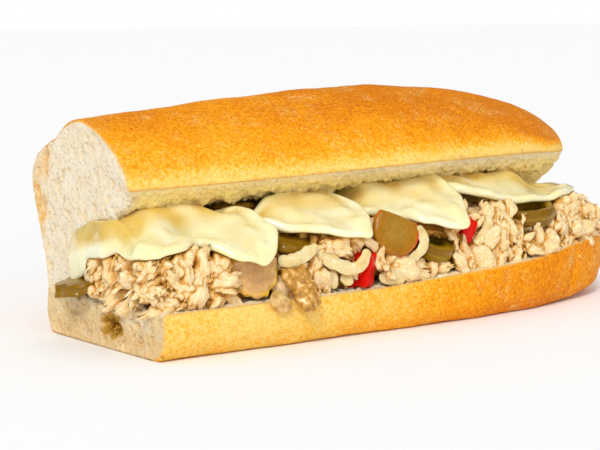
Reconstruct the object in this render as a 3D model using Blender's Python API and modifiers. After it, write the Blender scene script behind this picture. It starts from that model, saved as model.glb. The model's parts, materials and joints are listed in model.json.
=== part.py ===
"""Submarine sandwich: a hinge-cut roll with its hot filling, cut across at one end.

The roll lies along X. Its cut end faces -X, its rounded end +X, its mouth -Y and its uncut hinge +Y.
The roll is one solid: a lower half, an upper half swung up off it, and the hinge of crust and crumb
that still joins them along the back. The chicken fills the mouth, four slices of melted cheese lie over
it like shingles, and the vegetables sit in pockets of the chicken where they show at the mouth.
"""

import math

import bmesh
import bpy
from mathutils import Matrix, Vector, noise

MM = 0.001

# Driving dimensions, in millimetres.
CUT_X = -80.0  # the knife's cut across the roll
LOWER_TIP_X = 75.8  # rounded end of the lower half
UPPER_TIP_X = 68.5  # rounded end of the upper half, which sits back from the lower one
LOWER_FRONT, LOWER_BACK = -26.6, 24.6  # the lower half's sides at the cut
LOWER_HEIGHT = 10.9  # the lower half's cut surface above the board
LOWER_TIP_RISE = 5.4  # how far that surface climbs towards the rounded end
UPPER_EDGE_HEIGHT = 36.9  # the upper half's crust edge at the cut
UPPER_EDGE_RISE = 2.3  # how far that edge climbs along the roll
CROWN_HEIGHT = 51.4  # top of the roll at the cut
CROWN_RISE = 5.7  # how much higher the roll is at its fullest
FULLEST_X = -2.0  # where the roll starts to round off towards its tip
HINGE_INNER = 14.6  # how deep the knife went: the inner wall of the hinge
HINGE_END_X = 56.0  # where the knife came out round the end, past which the halves are free
MOUTH_GAP = 0.4  # clearance between the filling and the bread

FILL_RIGHT_X = 73.6  # the filling reaches almost to the lower half's tip
SHOULDER_Y, SHOULDER_RADIUS = -19.4, 4.6  # where the heap turns down at the mouth
END_SHOULDER_X = -75.9  # where it turns down at the cut end
FILL_CROWN_Y = -8.0
FILL_CROWN = 16.3  # heap above the lower half at the cut
FILL_CROWN_RISE = 0.2  # and how much more in the middle

CHEESE_THICK = 1.5
CHEESE_CLEAR = 1.35  # heap to the middle of a slice
CHEESE_LIFT = 2.4  # a slice's right end lies on the next slice, so it is lifted by this much
POCKET_GAP = 0.35  # a vegetable's pocket in the heap is this much larger
SLICE_EDGE = 0.7  # bevel round a slice of pickle or pepper
SLICE_SIDES = 16
STRIP_SIDES = 8

RINGS_ALONG = 22  # loft stations along the roll
OVERRUN = 4.0  # the lofts run this far past the cut, and the knife trims them
HOME = (5.25, 0.1)  # brings the middle of the whole to the origin

CRUST = (0.80, 0.45, 0.13)
CHICKEN = (0.86, 0.73, 0.56)
CHEESE = (0.95, 0.88, 0.58)
PICKLE = (0.42, 0.36, 0.07)
BRINED = (0.55, 0.42, 0.16)
PEPPER = (0.78, 0.06, 0.02)
ONION = (0.84, 0.74, 0.50)
BROWNED = (0.62, 0.34, 0.13)


def clear_scene():
    for obj in list(bpy.data.objects):
        bpy.data.objects.remove(obj, do_unlink=True)


def new_collection(name, helper=False):
    collection = bpy.data.collections.new(name)
    collection.hide_render = helper
    bpy.context.scene.collection.children.link(collection)
    return collection


def food_material(name, colour, roughness):
    material = bpy.data.materials.new(name)
    material.use_nodes = True
    shader = material.node_tree.nodes["Principled BSDF"]
    shader.inputs["Base Color"].default_value = (*colour, 1.0)
    shader.inputs["Roughness"].default_value = roughness
    shader.inputs["Metallic"].default_value = 0.0
    return material


def smoothstep(low, high, value):
    t = min(max((value - low) / (high - low), 0.0), 1.0)
    return t * t * (3.0 - 2.0 * t)


def round_off(x, start, tip, power=2.0):
    """1 along the body, falling to 0 at the tip as an ellipse does."""
    t = min(max((x - start) / (tip - start), 0.0), 1.0)
    return (1.0 - t**power) ** (1.0 / power)


def between(points, value):
    """The second number of each pair, read at `value` along the first with eased steps."""
    for (x0, y0), (x1, y1) in zip(points, points[1:]):
        if value <= x1:
            return y0 + (y1 - y0) * smoothstep(x0, x1, value)
    return points[-1][1]


def arc_through(points, steps):
    """Points on a Catmull-Rom curve through the given ones, without the last of them."""
    padded = [points[0], *points, points[-1]]
    found = []
    for i in range(1, len(padded) - 2):
        p0, p1, p2, p3 = (Vector(p) for p in padded[i - 1 : i + 3])
        for k in range(steps):
            t = k / steps
            found.append(
                0.5 * ((2 * p1) + (p2 - p0) * t + (2 * p0 - 5 * p1 + 4 * p2 - p3) * t**2
                       + (3 * p1 - p0 - 3 * p2 + p3) * t**3)
            )
    return found


def stations(start, tip, count):
    """Places along X, closer together towards the rounded tip."""
    body = count * 3 // 5
    turn = start + (tip - start) * 0.62
    straight = [start + (turn - start) * i / body for i in range(body)]
    end = [turn + (tip - turn) * math.sin(math.pi / 2 * i / (count - body)) for i in range(count - body)]
    return [*straight, *end, tip - 0.12]


def mesh_object(name, bm, collection, material=None):
    bmesh.ops.recalc_face_normals(bm, faces=bm.faces)
    mesh = bpy.data.meshes.new(name)
    bm.to_mesh(mesh)
    bm.free()
    obj = bpy.data.objects.new(name, mesh)
    collection.objects.link(obj)
    if material:
        mesh.materials.append(material)
    else:
        obj.hide_render = True
        obj.display_type = "WIRE"
    return obj


def loft(name, rings, collection, material=None):
    """A closed body through rings of points, all with as many points, and a cap on each end."""
    bm = bmesh.new()
    rows = [[bm.verts.new(Vector(p) * MM) for p in ring] for ring in rings]
    for first, second in zip(rows, rows[1:]):
        for i in range(len(first)):
            j = (i + 1) % len(first)
            bm.faces.new((first[i], first[j], second[j], second[i]))
    for row in (rows[0], rows[-1]):
        bm.faces.new(row)
    return mesh_object(name, bm, collection, material)


def boolean(target, operation, other=None, collection=None):
    cut = target.modifiers.new(operation.title(), "BOOLEAN")
    cut.operation = operation
    cut.solver = "EXACT"
    if collection:
        cut.operand_type = "COLLECTION"
        cut.collection = collection
    else:
        cut.object = other
    return cut


# ---------------------------------------------------------------- the roll


def lower_top(x):
    """Height of the lower half's cut surface."""
    climb = 0.4 * smoothstep(-30.0, 36.0, x) + 0.6 * smoothstep(26.0, 64.0, x)
    return LOWER_HEIGHT + LOWER_TIP_RISE * climb


def lower_ring(x):
    """The lower half's section: flat underneath, a plump front and back, and the flat cut on top."""
    front = [(LOWER_FRONT, 1.0), (-27.1, 0.70), (-26.7, 0.40), (-25.0, 0.12), (-21.6, 0.0)]
    back = [(21.8, 0.0), (24.2, 0.14), (25.2, 0.50), (LOWER_BACK, 1.0)]
    width = round_off(x, 0.0, LOWER_TIP_X, 2.2)
    floor = 7.4 * (1.0 - round_off(x, 40.0, LOWER_TIP_X))
    middle = -1.4
    ring = []
    for y, share in [*arc_through(front, 2), front[-1], *arc_through(back, 2), back[-1]]:
        z = floor + share * (lower_top(x) - floor)
        ring.append((x, middle + (y - middle) * width, z))
    return ring


def upper_edge(x):
    """Height of the crust's front edge, over the mouth."""
    fall = smoothstep(40.0, UPPER_TIP_X, x)
    return UPPER_EDGE_HEIGHT + UPPER_EDGE_RISE * smoothstep(CUT_X, 20.0, x) - fall


def crown_height(x):
    """Height of the top of the roll, which climbs from the cut to its fullest and then rounds off."""
    before = min(max((FULLEST_X - x) / (FULLEST_X - CUT_X), 0.0), 1.05)
    rise = CROWN_RISE * (1.0 - before**1.3)
    edge = upper_edge(x)
    return edge + (CROWN_HEIGHT + rise - edge) * round_off(x, FULLEST_X, UPPER_TIP_X + 0.6, 2.05)


def upper_ring(x):
    """The upper half's section: the crust from its front edge over the crown to the back, the crease where
    the crust folded when the roll was opened, and the torn crumb underneath with its steep front band."""
    crease_y = 20.3
    crust = [(-12.3, 36.9), (-11.4, 40.0), (-7.2, 44.6), (-0.6, 48.7), (5.6, 51.0), (10.6, 51.4),
             (16.6, 49.2), (crease_y, 46.4)]
    low_back = (26.3, 19.0)
    fold = [(crease_y, 46.4), (25.6, 44.6), (30.0, 41.0), (31.7, 37.4), (30.9, 32.2), (28.5, 25.4), low_back]
    # Each point of the torn roof: its place at the cut, and how much higher it is further in.
    roof = [(HINGE_INNER, 19.9, 2.7), (10.2, 22.9, 4.2), (4.4, 26.1, 4.2), (-0.1, 27.7, 3.9),
            (-4.7, 28.8, 2.4)]
    opened = smoothstep(CUT_X - 1.0, CUT_X + 7.0, x)
    under = [low_back, *((y, z + more * opened) for y, z, more in roof)]
    anchor_y, anchor_z = 3.0, UPPER_EDGE_HEIGHT
    taper = round_off(x, FULLEST_X, UPPER_TIP_X, 1.8)
    bulge = smoothstep(CUT_X - 12.0, FULLEST_X, x)
    front = (1.0 + 0.31 * bulge) * taper
    back = (1.0 - 0.07 * bulge) * taper
    up = (crown_height(x) - upper_edge(x)) / (CROWN_HEIGHT - UPPER_EDGE_HEIGHT)
    down = (1.0 - 0.05 * bulge) * round_off(x, 26.0, UPPER_TIP_X, 3.0)
    filled = 1.4 * bulge  # the crease opens out again away from the cut
    points = [*arc_through(crust, 2), *arc_through(fold, 2), *under]
    ring = []
    for y, z in points:
        on_crown = z > 42.0
        z += filled * max(0.0, 1.0 - abs(y - crease_y) / 7.0) * on_crown
        side = front if y < anchor_y else back
        lift = up if z > anchor_z else down
        ring.append((x, anchor_y + (y - anchor_y) * side, upper_edge(x) + (z - anchor_z) * lift))
    return ring


def hinge_span(x):
    """The hinge's inner wall, and how far out it stands inside the lower and the upper half."""
    outer_low = min(max(y for _, y, _ in lower_ring(x)) - 0.5, LOWER_BACK)
    outer_top = max(max(y for _, y, _ in upper_ring(x)) - 1.4, outer_low - 3.0)
    return min(HINGE_INNER, outer_low - 4.0, outer_top - 5.0), outer_low, outer_top


def hinge_ring(x):
    """The uncut strip along the back, from inside the lower half up into the upper one."""
    inner, outer_low, outer_top = hinge_span(x)
    top = max(upper_ring(x), key=lambda p: p[1])[2] - 1.0
    low = lower_top(x) - 3.5
    waist = (outer_low + outer_top) / 2 - 1.2
    return [
        (x, inner, low),
        (x, outer_low, low),
        (x, outer_low, lower_top(x) + 1.0),
        (x, waist, (low + top) / 2),
        (x, outer_top, top - 2.5),
        (x, outer_top - 2.0, top),
        (x, inner, top),
        (x, inner - 0.8, (low + top) / 2),
    ]


def roll_stations(tip=LOWER_TIP_X):
    return stations(CUT_X - OVERRUN, tip, RINGS_ALONG)


def make_knife(cutters):
    """The block that trims the roll at the cut."""
    deep, wide, tall = 10.0, 120.0, 160.0
    bm = bmesh.new()
    bmesh.ops.create_cube(bm, size=1.0)
    bmesh.ops.transform(bm, matrix=Matrix.Diagonal((deep * MM, wide * MM, tall * MM, 1.0)), verts=bm.verts)
    bmesh.ops.translate(bm, vec=Vector((CUT_X - deep / 2, 0.0, CROWN_HEIGHT / 2)) * MM, verts=bm.verts)
    return mesh_object("knife", bm, cutters)


def make_roll(parts, cutters, crust):
    roll = loft("bread", [lower_ring(x) for x in roll_stations()], parts, crust)
    upper = loft("upper_half", [upper_ring(x) for x in roll_stations(UPPER_TIP_X)], cutters)
    start = CUT_X - OVERRUN
    steps = 12
    hinge_xs = [start + (HINGE_END_X - start) * i / steps for i in range(steps + 1)]
    hinge = loft("hinge", [hinge_ring(x) for x in hinge_xs], cutters)
    knife = make_knife(cutters)
    boolean(roll, "UNION", hinge)
    boolean(roll, "UNION", upper)
    boolean(roll, "DIFFERENCE", knife)
    return roll


# ---------------------------------------------------------------- the filling


def fill_width(x):
    """How much of its full width the heap has, as the lower half rounds off."""
    return round_off(x, 5.0, FILL_RIGHT_X + 2.5, 2.15)


def fill_crown(x):
    rise = FILL_CROWN_RISE * smoothstep(CUT_X, -25.0, x)
    fall = 5.2 * smoothstep(15.0, 65.0, x) + 7.2 * smoothstep(56.0, FILL_RIGHT_X + 2.0, x)
    return lower_top(x) + FILL_CROWN + rise - fall


def fill_top(x, y):
    """Height of the heap's top, a low ridge that falls away to the mouth and to the hinge."""
    steep = 0.024 if y < FILL_CROWN_Y else 0.017
    return fill_crown(x) - steep * (y - FILL_CROWN_Y) ** 2


def shoulder(x):
    return SHOULDER_Y * fill_width(x)


def fill_ring(x, inset=0.0, drop=0.0):
    """The heap's section: flat on the lower half, upright at the mouth, rounded over its shoulder."""
    floor = lower_top(x) + MOUTH_GAP
    turn = shoulder(x) + inset
    back = min(HINGE_INNER * min(1.0, fill_width(x) * 1.1), hinge_span(min(x, HINGE_END_X))[0]) - 1.3 - inset
    edge = fill_top(x, turn) - drop
    radius = min(SHOULDER_RADIUS, 0.6 * (edge - floor))
    waist = floor + 0.4 * (edge - floor)
    ring = [(turn - radius + 0.8, floor), (turn - radius, waist)]
    for i in range(4):
        angle = math.pi / 2 * (1.0 - i / 3.5)
        ring.append((turn - radius * math.sin(angle), edge - radius * (1.0 - math.cos(angle))))
    width = back - turn
    for i in range(6):
        y = turn + (width - min(5.5, 0.4 * width)) * i / 5
        ring.append((y, fill_top(x, y) - drop))
    back_edge = max(fill_top(x, back) - 2.0 - drop, waist + 0.3)
    ring += [(back - min(1.5, 0.15 * width), back_edge), (back, waist), (back, floor)]
    uneven = []
    for y, z in ring:
        rough = abs(noise.noise(Vector((x * 0.11, y * 0.13, z * 0.13)))) * (z > floor + 0.5)
        uneven.append((x, y - rough * 0.5 * math.copysign(1.0, y), max(z - rough * 0.7, floor)))
    return uneven


def make_filling(parts, pockets, chicken):
    # The heap shares the roll's stations, so that it clears the climbing surface under it evenly.
    xs = [x for x in roll_stations() if END_SHOULDER_X + 1.0 < x < FILL_RIGHT_X - 1.0]
    xs = [END_SHOULDER_X, *xs, FILL_RIGHT_X]
    rings = []
    for share in (1.0, 0.93, 0.75, 0.45):  # the heap's end is as round as its shoulder
        drop = SHOULDER_RADIUS * (1.0 - math.sqrt(1.0 - share**2))
        rings.append(fill_ring(END_SHOULDER_X - SHOULDER_RADIUS * share, 0.6 * drop, drop))
    rings += [fill_ring(x, 2.0 * (1.0 - round_off(x, 60.0, FILL_RIGHT_X))) for x in xs]
    heap = loft("chicken", rings, parts, chicken)
    boolean(heap, "DIFFERENCE", collection=pockets)
    return heap


# ---------------------------------------------------------------- the cheese


def draped(a, b, lift):
    """Where the point (a, b) of a flat slice lies once it has softened over the heap's shoulders."""
    near_x = max(a, END_SHOULDER_X)
    near_y = max(b, shoulder(near_x))
    away = Vector((a - near_x, b - near_y))
    reach = away.length
    radius = SHOULDER_RADIUS
    angle = min(reach / radius, math.pi / 2)
    outward = away.normalized() if reach > 1e-9 else Vector((0.0, 0.0))
    slack = max(0.0, reach - radius * math.pi / 2)
    foot = Vector((near_x, near_y)) + outward * radius * math.sin(angle)
    height = fill_top(near_x, near_y) - radius * (1.0 - math.cos(angle)) - slack
    normal = Vector((outward.x * math.sin(angle), outward.y * math.sin(angle), math.cos(angle)))
    return Vector((foot.x, foot.y, height)) + normal * (CHEESE_CLEAR + lift)


# Each slice: its left and right ends along the roll, how far its right edge flares over the shoulder and
# how far it slants at the back, its back edge from left to right, its lift at the right end, and how far
# its front edge hangs past the shoulder along the roll.
SLICES = {
    "cheese_slice_1": {
        "ends": (-75.9, -53.2), "flare": 5.6, "slant": 4.0, "back": [(0.0, 12.2), (1.0, -7.8)], "lift": 1.0,
        "hang": [(-90.0, 3.2), (-77.5, 3.2), (-72.5, 3.4), (-67.0, -0.2), (-58.6, 5.8), (-51.0, 8.0)],
    },
    "cheese_slice_2": {
        "ends": (-56.0, -23.2), "flare": 4.6, "slant": 2.0, "back": [(0.0, -8.4), (0.5, -8.0), (1.0, -2.0)],
        "lift": 1.0,
        "hang": [(-58.0, -3.0), (-49.0, -5.0), (-41.0, 1.6), (-34.0, 3.4), (-29.0, 4.4), (-21.0, 5.8)],
    },
    "cheese_slice_3": {
        "ends": (-27.0, 7.6), "flare": 5.0, "slant": 3.0, "back": [(0.0, 0.0), (1.0, 0.0)], "lift": 1.0,
        "hang": [(-28.0, 0.0), (-22.0, -3.0), (-9.0, -2.3), (-3.6, 4.2), (3.0, 5.6), (9.0, 5.8)],
    },
    "cheese_slice_4": {
        "ends": (3.8, 59.2), "flare": 0.0, "slant": 0.0, "back": [(0.0, 0.0), (0.7, 1.0), (1.0, -4.0)],
        "lift": 0.15,
        "hang": [(3.0, 0.0), (12.0, -7.0), (20.0, -3.8), (30.0, -0.6), (44.0, 1.0), (55.0, 0.8),
                 (60.0, -1.5)],
    },
}
# The first slice folds down over the cut end: its reach past the end of the heap, from mouth to hinge.
END_REACH = [(-30.0, 4.0), (-19.4, 4.2), (-13.0, 6.8), (-2.0, 7.4), (8.0, 7.4), (12.0, 6.9)]


def slice_point(spec, u, v):
    """Where a slice's point is on the flat: u runs along the roll and v from the mouth to the hinge."""
    left, right = spec["ends"]
    back = between(spec["back"], u)
    sweep = between([(0.0, 0.0), (0.3, spec["flare"]), (1.0, spec["slant"])], v)
    if left <= END_SHOULDER_X:
        reach = between(END_REACH, SHOULDER_Y + (back - SHOULDER_Y) * v)
        a = left + (right + sweep - left) * u - reach * (1 - u) ** 2
    else:
        a = left + (right - left) * u + sweep
    front = shoulder(a) - between(spec["hang"], a)
    return a, front + (back - front) * v


def make_slice(name, spec, parts, cheese):
    """A slice as an open sheet, laid over the heap point by point and given its thickness."""
    bm = bmesh.new()
    bmesh.ops.create_grid(bm, x_segments=12, y_segments=8, size=0.5)
    for vert in bm.verts:
        u, v = vert.co.x + 0.5, vert.co.y + 0.5
        a, b = slice_point(spec, u, v)
        vert.co = draped(a, b, spec["lift"] * CHEESE_LIFT * smoothstep(0.0, 1.0, u)) * MM
    obj = mesh_object(name, bm, parts, cheese)
    shell = obj.modifiers.new("Thickness", "SOLIDIFY")
    shell.thickness = CHEESE_THICK * MM
    shell.offset = 0.0
    return obj


# ---------------------------------------------------------------- the vegetables


def turned(name, profile, steps, collection, material):
    """A turned body from a profile of (radius, height) pairs that runs down its outer side."""
    bm = bmesh.new()
    verts = [bm.verts.new((r * MM, 0.0, z * MM)) for r, z in profile]
    for first, second in zip(verts, verts[1:]):
        bm.edges.new((first, second))
    if profile[0][0] > 0.0:
        bm.edges.new((verts[-1], verts[0]))
    mesh = bpy.data.meshes.new(name)
    bm.to_mesh(mesh)
    bm.free()
    obj = bpy.data.objects.new(name, mesh)
    collection.objects.link(obj)
    if material:
        mesh.materials.append(material)
    else:
        obj.hide_render = True
        obj.display_type = "WIRE"
    screw = obj.modifiers.new("Turn", "SCREW")
    screw.steps = screw.render_steps = steps
    screw.use_merge_vertices = True
    screw.merge_threshold = 1e-5
    return obj


def place(obj, centre, facing):
    """Puts a part at `centre`, its own Z turned to `facing`."""
    turn = Vector(facing).normalized().to_track_quat("Z", "Y").to_matrix().to_4x4()
    obj.matrix_world = Matrix.Translation(Vector(centre) * MM) @ turn


def disc(name, radius, thick, collection, material):
    r, h, edge = radius, thick / 2, SLICE_EDGE
    profile = [(0.0, h), (r - edge, h), (r, h - edge), (r, edge - h), (r - edge, -h), (0.0, -h)]
    return turned(name, profile, SLICE_SIDES, collection, material)


def ring_slice(name, radius, hole, thick, collection, material):
    r, h, edge, flesh = radius, thick / 2, SLICE_EDGE, 1.6 * SLICE_EDGE
    profile = [(hole + edge, h), (r - edge, h), (r, h - flesh), (r, flesh - h), (r - edge, -h),
               (hole + edge, -h), (hole, edge - h), (hole, h - edge)]
    return turned(name, profile, SLICE_SIDES, collection, material)


def dice(name, size, collection, material, grow=0.0):
    bm = bmesh.new()
    bmesh.ops.create_cube(bm, size=1.0)
    scale = Matrix.Diagonal((*((s + 2 * grow) * MM for s in size), 1.0))
    bmesh.ops.transform(bm, matrix=scale, verts=bm.verts)
    for vert in bm.verts:  # a dice of pepper wall is narrower at its bottom
        if vert.co.z < 0.0:
            vert.co.x *= 0.86
    rounding = 0.6
    bmesh.ops.bevel(bm, geom=bm.edges[:], offset=rounding * MM, segments=2, profile=0.5, affect="EDGES")
    return mesh_object(name, bm, collection, material)


def strip(name, route, width, thick, collection, material, grow=0.0):
    """A strip of onion: a flat rounded section carried along a smooth route, thinner at both ends.
    Its width stands across the route in the plane of the mouth, and its thickness points out of it."""
    path = [*arc_through(route, 3), Vector(route[-1])]
    rings = []
    for i, point in enumerate(path):
        ahead = (path[min(i + 1, len(path) - 1)] - path[max(i - 1, 0)]).normalized()
        out = Vector((0.0, -1.0, 0.15))
        out = (out - ahead * out.dot(ahead)).normalized()
        across = ahead.cross(out)
        along = 2.0 * i / (len(path) - 1) - 1.0
        share = 1.0 - 0.45 * along**4
        w, t = width / 2 * share + grow, thick / 2 * share + grow
        centre = point + ahead * grow * (along if abs(along) == 1.0 else 0.0)
        angles = [k * math.tau / STRIP_SIDES for k in range(STRIP_SIDES)]
        rings.append([centre + across * w * math.cos(a) + out * t * math.sin(a) for a in angles])
    return loft(name, rings, collection, material)


def make_vegetables(parts, pockets, looks):
    """Every vegetable, and the slightly larger copy that cuts its pocket in the heap."""
    discs = {
        # name: (radius, thickness, centre, facing, finish)
        "pickle_end": (6.0, 3.6, (-80.0, 7.7, 13.5), (-0.20, 0.08, 0.96), "pickle"),
        "pickle_back": (6.2, 2.4, (-44.4, -0.9, 29.5), (0.05, 0.15, 0.99), "pickle"),
        "pickle_under": (6.3, 2.6, (-40.6, -18.1, 22.7), (0.05, -0.22, 0.97), "pickle"),
        "brined_slice_left": (6.6, 2.2, (-53.6, -22.9, 18.1), (-0.04, -0.98, 0.18), "brined"),
        "brined_slice_right": (6.6, 2.4, (-12.2, -23.2, 24.0), (-0.10, -0.95, 0.28), "brined"),
    }
    rings = {
        # name: (radius, hole, thickness, centre, facing)
        "pepper_ring_front": (7.0, 3.6, 4.2, (1.6, -19.3, 19.5), (0.14, -0.48, 0.86)),
        "pepper_ring_right": (8.0, 5.2, 4.4, (37.6, -15.8, 24.1), (-0.10, -0.10, 1.0)),
    }
    dices = {
        # name: (size, centre, facing)
        "red_dice_front": ((6.6, 4.6, 7.2), (-22.4, -21.5, 15.4), (0.10, 0.05, 1.0)),
        "red_dice_right": ((4.6, 3.8, 4.8), (11.3, -21.9, 22.4), (0.35, -0.1, 1.0)),
    }
    strips = {
        # name: (width, thickness, route)
        "onion_strand_left": (2.2, 1.4, [(-47.4, -24.9, 19.8), (-44.0, -25.6, 19.9), (-40.3, -25.5, 21.2),
                                         (-37.2, -24.8, 22.2)]),
        "onion_loop": (2.3, 1.4, [(-36.3, -23.6, 20.6), (-33.8, -24.6, 18.7), (-30.0, -25.5, 16.9),
                                  (-26.4, -25.9, 16.5), (-23.6, -25.9, 18.2), (-22.8, -25.8, 19.8)]),
        "onion_tail": (2.2, 1.5, [(-32.4, -24.0, 15.6), (-31.6, -24.2, 14.2), (-31.4, -24.2, 12.6)]),
        "onion_bulb": (2.6, 1.7, [(-28.6, -24.0, 14.6), (-28.0, -24.4, 13.6), (-27.6, -24.5, 12.4)]),
        "onion_petal": (2.2, 1.6, [(-17.0, -24.2, 12.9), (-13.8, -25.2, 13.1), (-10.5, -24.6, 13.4)]),
        "onion_arc": (1.6, 1.4, [(-4.9, -24.4, 24.0), (-3.6, -24.6, 22.4), (-3.6, -24.8, 20.4),
                                 (-5.0, -24.9, 18.2), (-7.4, -24.7, 16.8)]),
        "onion_arc_right": (1.9, 1.6, [(18.9, -20.8, 26.4), (18.4, -22.6, 24.0), (15.9, -23.8, 21.2),
                                       (13.4, -24.2, 19.2)]),
        "onion_scrap": (3.0, 1.4, [(-51.6, -28.1, 12.4), (-49.6, -28.3, 10.6), (-47.6, -28.3, 9.8)]),
        "browned_chunk": (5.4, 4.2, [(-44.2, -25.2, 18.0), (-44.0, -26.8, 15.6), (-43.0, -29.2, 12.4),
                                     (-42.0, -30.4, 9.6)]),
    }
    wider, deeper = POCKET_GAP, 2 * POCKET_GAP
    for name, (radius, thick, centre, facing, look) in discs.items():
        place(disc(name, radius, thick, parts, looks[look]), centre, facing)
        place(disc(name + "_pocket", radius + wider, thick + deeper, pockets, None), centre, facing)
    for name, (radius, hole, thick, centre, facing) in rings.items():
        place(ring_slice(name, radius, hole, thick, parts, looks["pickle"]), centre, facing)
        place(disc(name + "_pocket", radius + wider, thick + deeper, pockets, None), centre, facing)
    for name, (size, centre, facing) in dices.items():
        place(dice(name, size, parts, looks["pepper"]), centre, facing)
        place(dice(name + "_pocket", size, pockets, None, wider), centre, facing)
    for name, (width, thick, route) in strips.items():
        look = looks["browned" if name == "browned_chunk" else "onion"]
        strip(name, route, width, thick, parts, look)
        strip(name + "_pocket", route, width, thick, pockets, None, wider)


def main():
    clear_scene()
    parts = new_collection("submarine_sandwich")
    cutters = new_collection("bread_cutters", helper=True)
    pockets = new_collection("pocket_cutters", helper=True)
    looks = {
        "pickle": food_material("pickle", PICKLE, 0.35),
        "brined": food_material("brined_vegetable", BRINED, 0.3),
        "pepper": food_material("red_pepper", PEPPER, 0.3),
        "onion": food_material("onion", ONION, 0.35),
        "browned": food_material("browned_chicken", BROWNED, 0.5),
    }
    cheese = food_material("cheese", CHEESE, 0.35)
    make_roll(parts, cutters, food_material("crust", CRUST, 0.6))
    make_vegetables(parts, pockets, looks)
    make_filling(parts, pockets, food_material("chicken", CHICKEN, 0.55))
    for name, spec in SLICES.items():
        make_slice(name, spec, parts, cheese)
    home = Matrix.Translation(Vector((*HOME, 0.0)) * MM)
    for obj in bpy.data.objects:
        obj.matrix_world = home @ obj.matrix_world


main()
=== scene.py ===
"""Looks of a submarine sandwich, built round its packed model.

The roll is a hinge-cut white one, cut straight across at -X. Its mouth opens to -Y, where shredded chicken,
melted cheese and brined vegetables show. Every piece starts from the packed node that it stands for, so the
places below are read from those nodes, or given in millimetres in the same frame.
"""

import json
import math
import random

import bmesh
import bpy
import numpy as np
from bpy.props import FloatProperty, FloatVectorProperty, IntProperty, PointerProperty
from mathutils import Matrix, Vector, noise
from mathutils.bvhtree import BVHTree

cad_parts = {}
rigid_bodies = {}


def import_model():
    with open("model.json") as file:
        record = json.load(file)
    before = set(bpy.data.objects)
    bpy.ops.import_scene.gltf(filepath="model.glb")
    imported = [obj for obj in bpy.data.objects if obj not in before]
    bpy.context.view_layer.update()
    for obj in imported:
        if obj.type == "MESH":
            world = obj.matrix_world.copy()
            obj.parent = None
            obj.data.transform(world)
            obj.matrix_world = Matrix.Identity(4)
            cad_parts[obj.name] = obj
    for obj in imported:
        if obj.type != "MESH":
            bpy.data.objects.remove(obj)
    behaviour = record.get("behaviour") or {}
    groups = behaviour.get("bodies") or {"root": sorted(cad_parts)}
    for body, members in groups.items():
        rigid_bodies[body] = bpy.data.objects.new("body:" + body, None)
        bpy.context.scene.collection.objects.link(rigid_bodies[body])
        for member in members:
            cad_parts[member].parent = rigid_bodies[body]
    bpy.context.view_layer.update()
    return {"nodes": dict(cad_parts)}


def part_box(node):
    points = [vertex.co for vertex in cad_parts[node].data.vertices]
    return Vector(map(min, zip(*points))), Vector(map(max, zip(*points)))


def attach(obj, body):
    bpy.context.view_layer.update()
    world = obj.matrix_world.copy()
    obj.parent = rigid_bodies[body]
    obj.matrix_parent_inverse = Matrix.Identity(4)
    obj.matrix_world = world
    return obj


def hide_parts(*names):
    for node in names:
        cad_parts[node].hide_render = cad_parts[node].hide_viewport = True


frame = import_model()

bl_info = {
    "name": "Submarine Sandwich",
    "version": (1, 0, 0),
    "blender": (4, 5, 0),
    "location": "3D View > Sidebar > Sandwich",
    "description": "Builds the pieces of a filled roll round its packed model",
    "category": "Object",
}

MM = 0.001
UP = Vector((0.0, 0.0, 1.0))
BODY = "root"

# In millimetres: the cut end's place, and the heights of the lower half's top and the upper half's mouth.
CUT_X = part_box("bread")[0].x / MM
LOWER_TOP = 19.0
UPPER_MOUTH = 26.0


# ---------------------------------------------------------------- shader maths


class Socket:
    """A shader's output that takes Python's arithmetic: each operation adds its Math node."""

    def __init__(self, look, source):
        self.look = look
        self.source = source

    def maths(self, operation, *values):
        return self.look.node("ShaderNodeMath", {"operation": operation}, dict(enumerate(values)))

    def __add__(self, other):
        return self.maths("ADD", self, other)

    def __radd__(self, other):
        return self.maths("ADD", other, self)

    def __sub__(self, other):
        return self.maths("SUBTRACT", self, other)

    def __rsub__(self, other):
        return self.maths("SUBTRACT", other, self)

    def __mul__(self, other):
        return self.maths("MULTIPLY", self, other)

    def __rmul__(self, other):
        return self.maths("MULTIPLY", other, self)

    def __abs__(self):
        return self.maths("ABSOLUTE", self)

    def step(self, low, high):
        """0 below `low`, 1 above `high`, eased between them; the other way round if low is above high."""
        swapped = low > high
        ends = (high, low, 1.0, 0.0) if swapped else (low, high, 0.0, 1.0)
        values = dict(zip(("From Min", "From Max", "To Min", "To Max"), ends))
        return self.look.node(
            "ShaderNodeMapRange", {"interpolation_type": "SMOOTHSTEP"}, {"Value": self, **values}
        )


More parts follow.
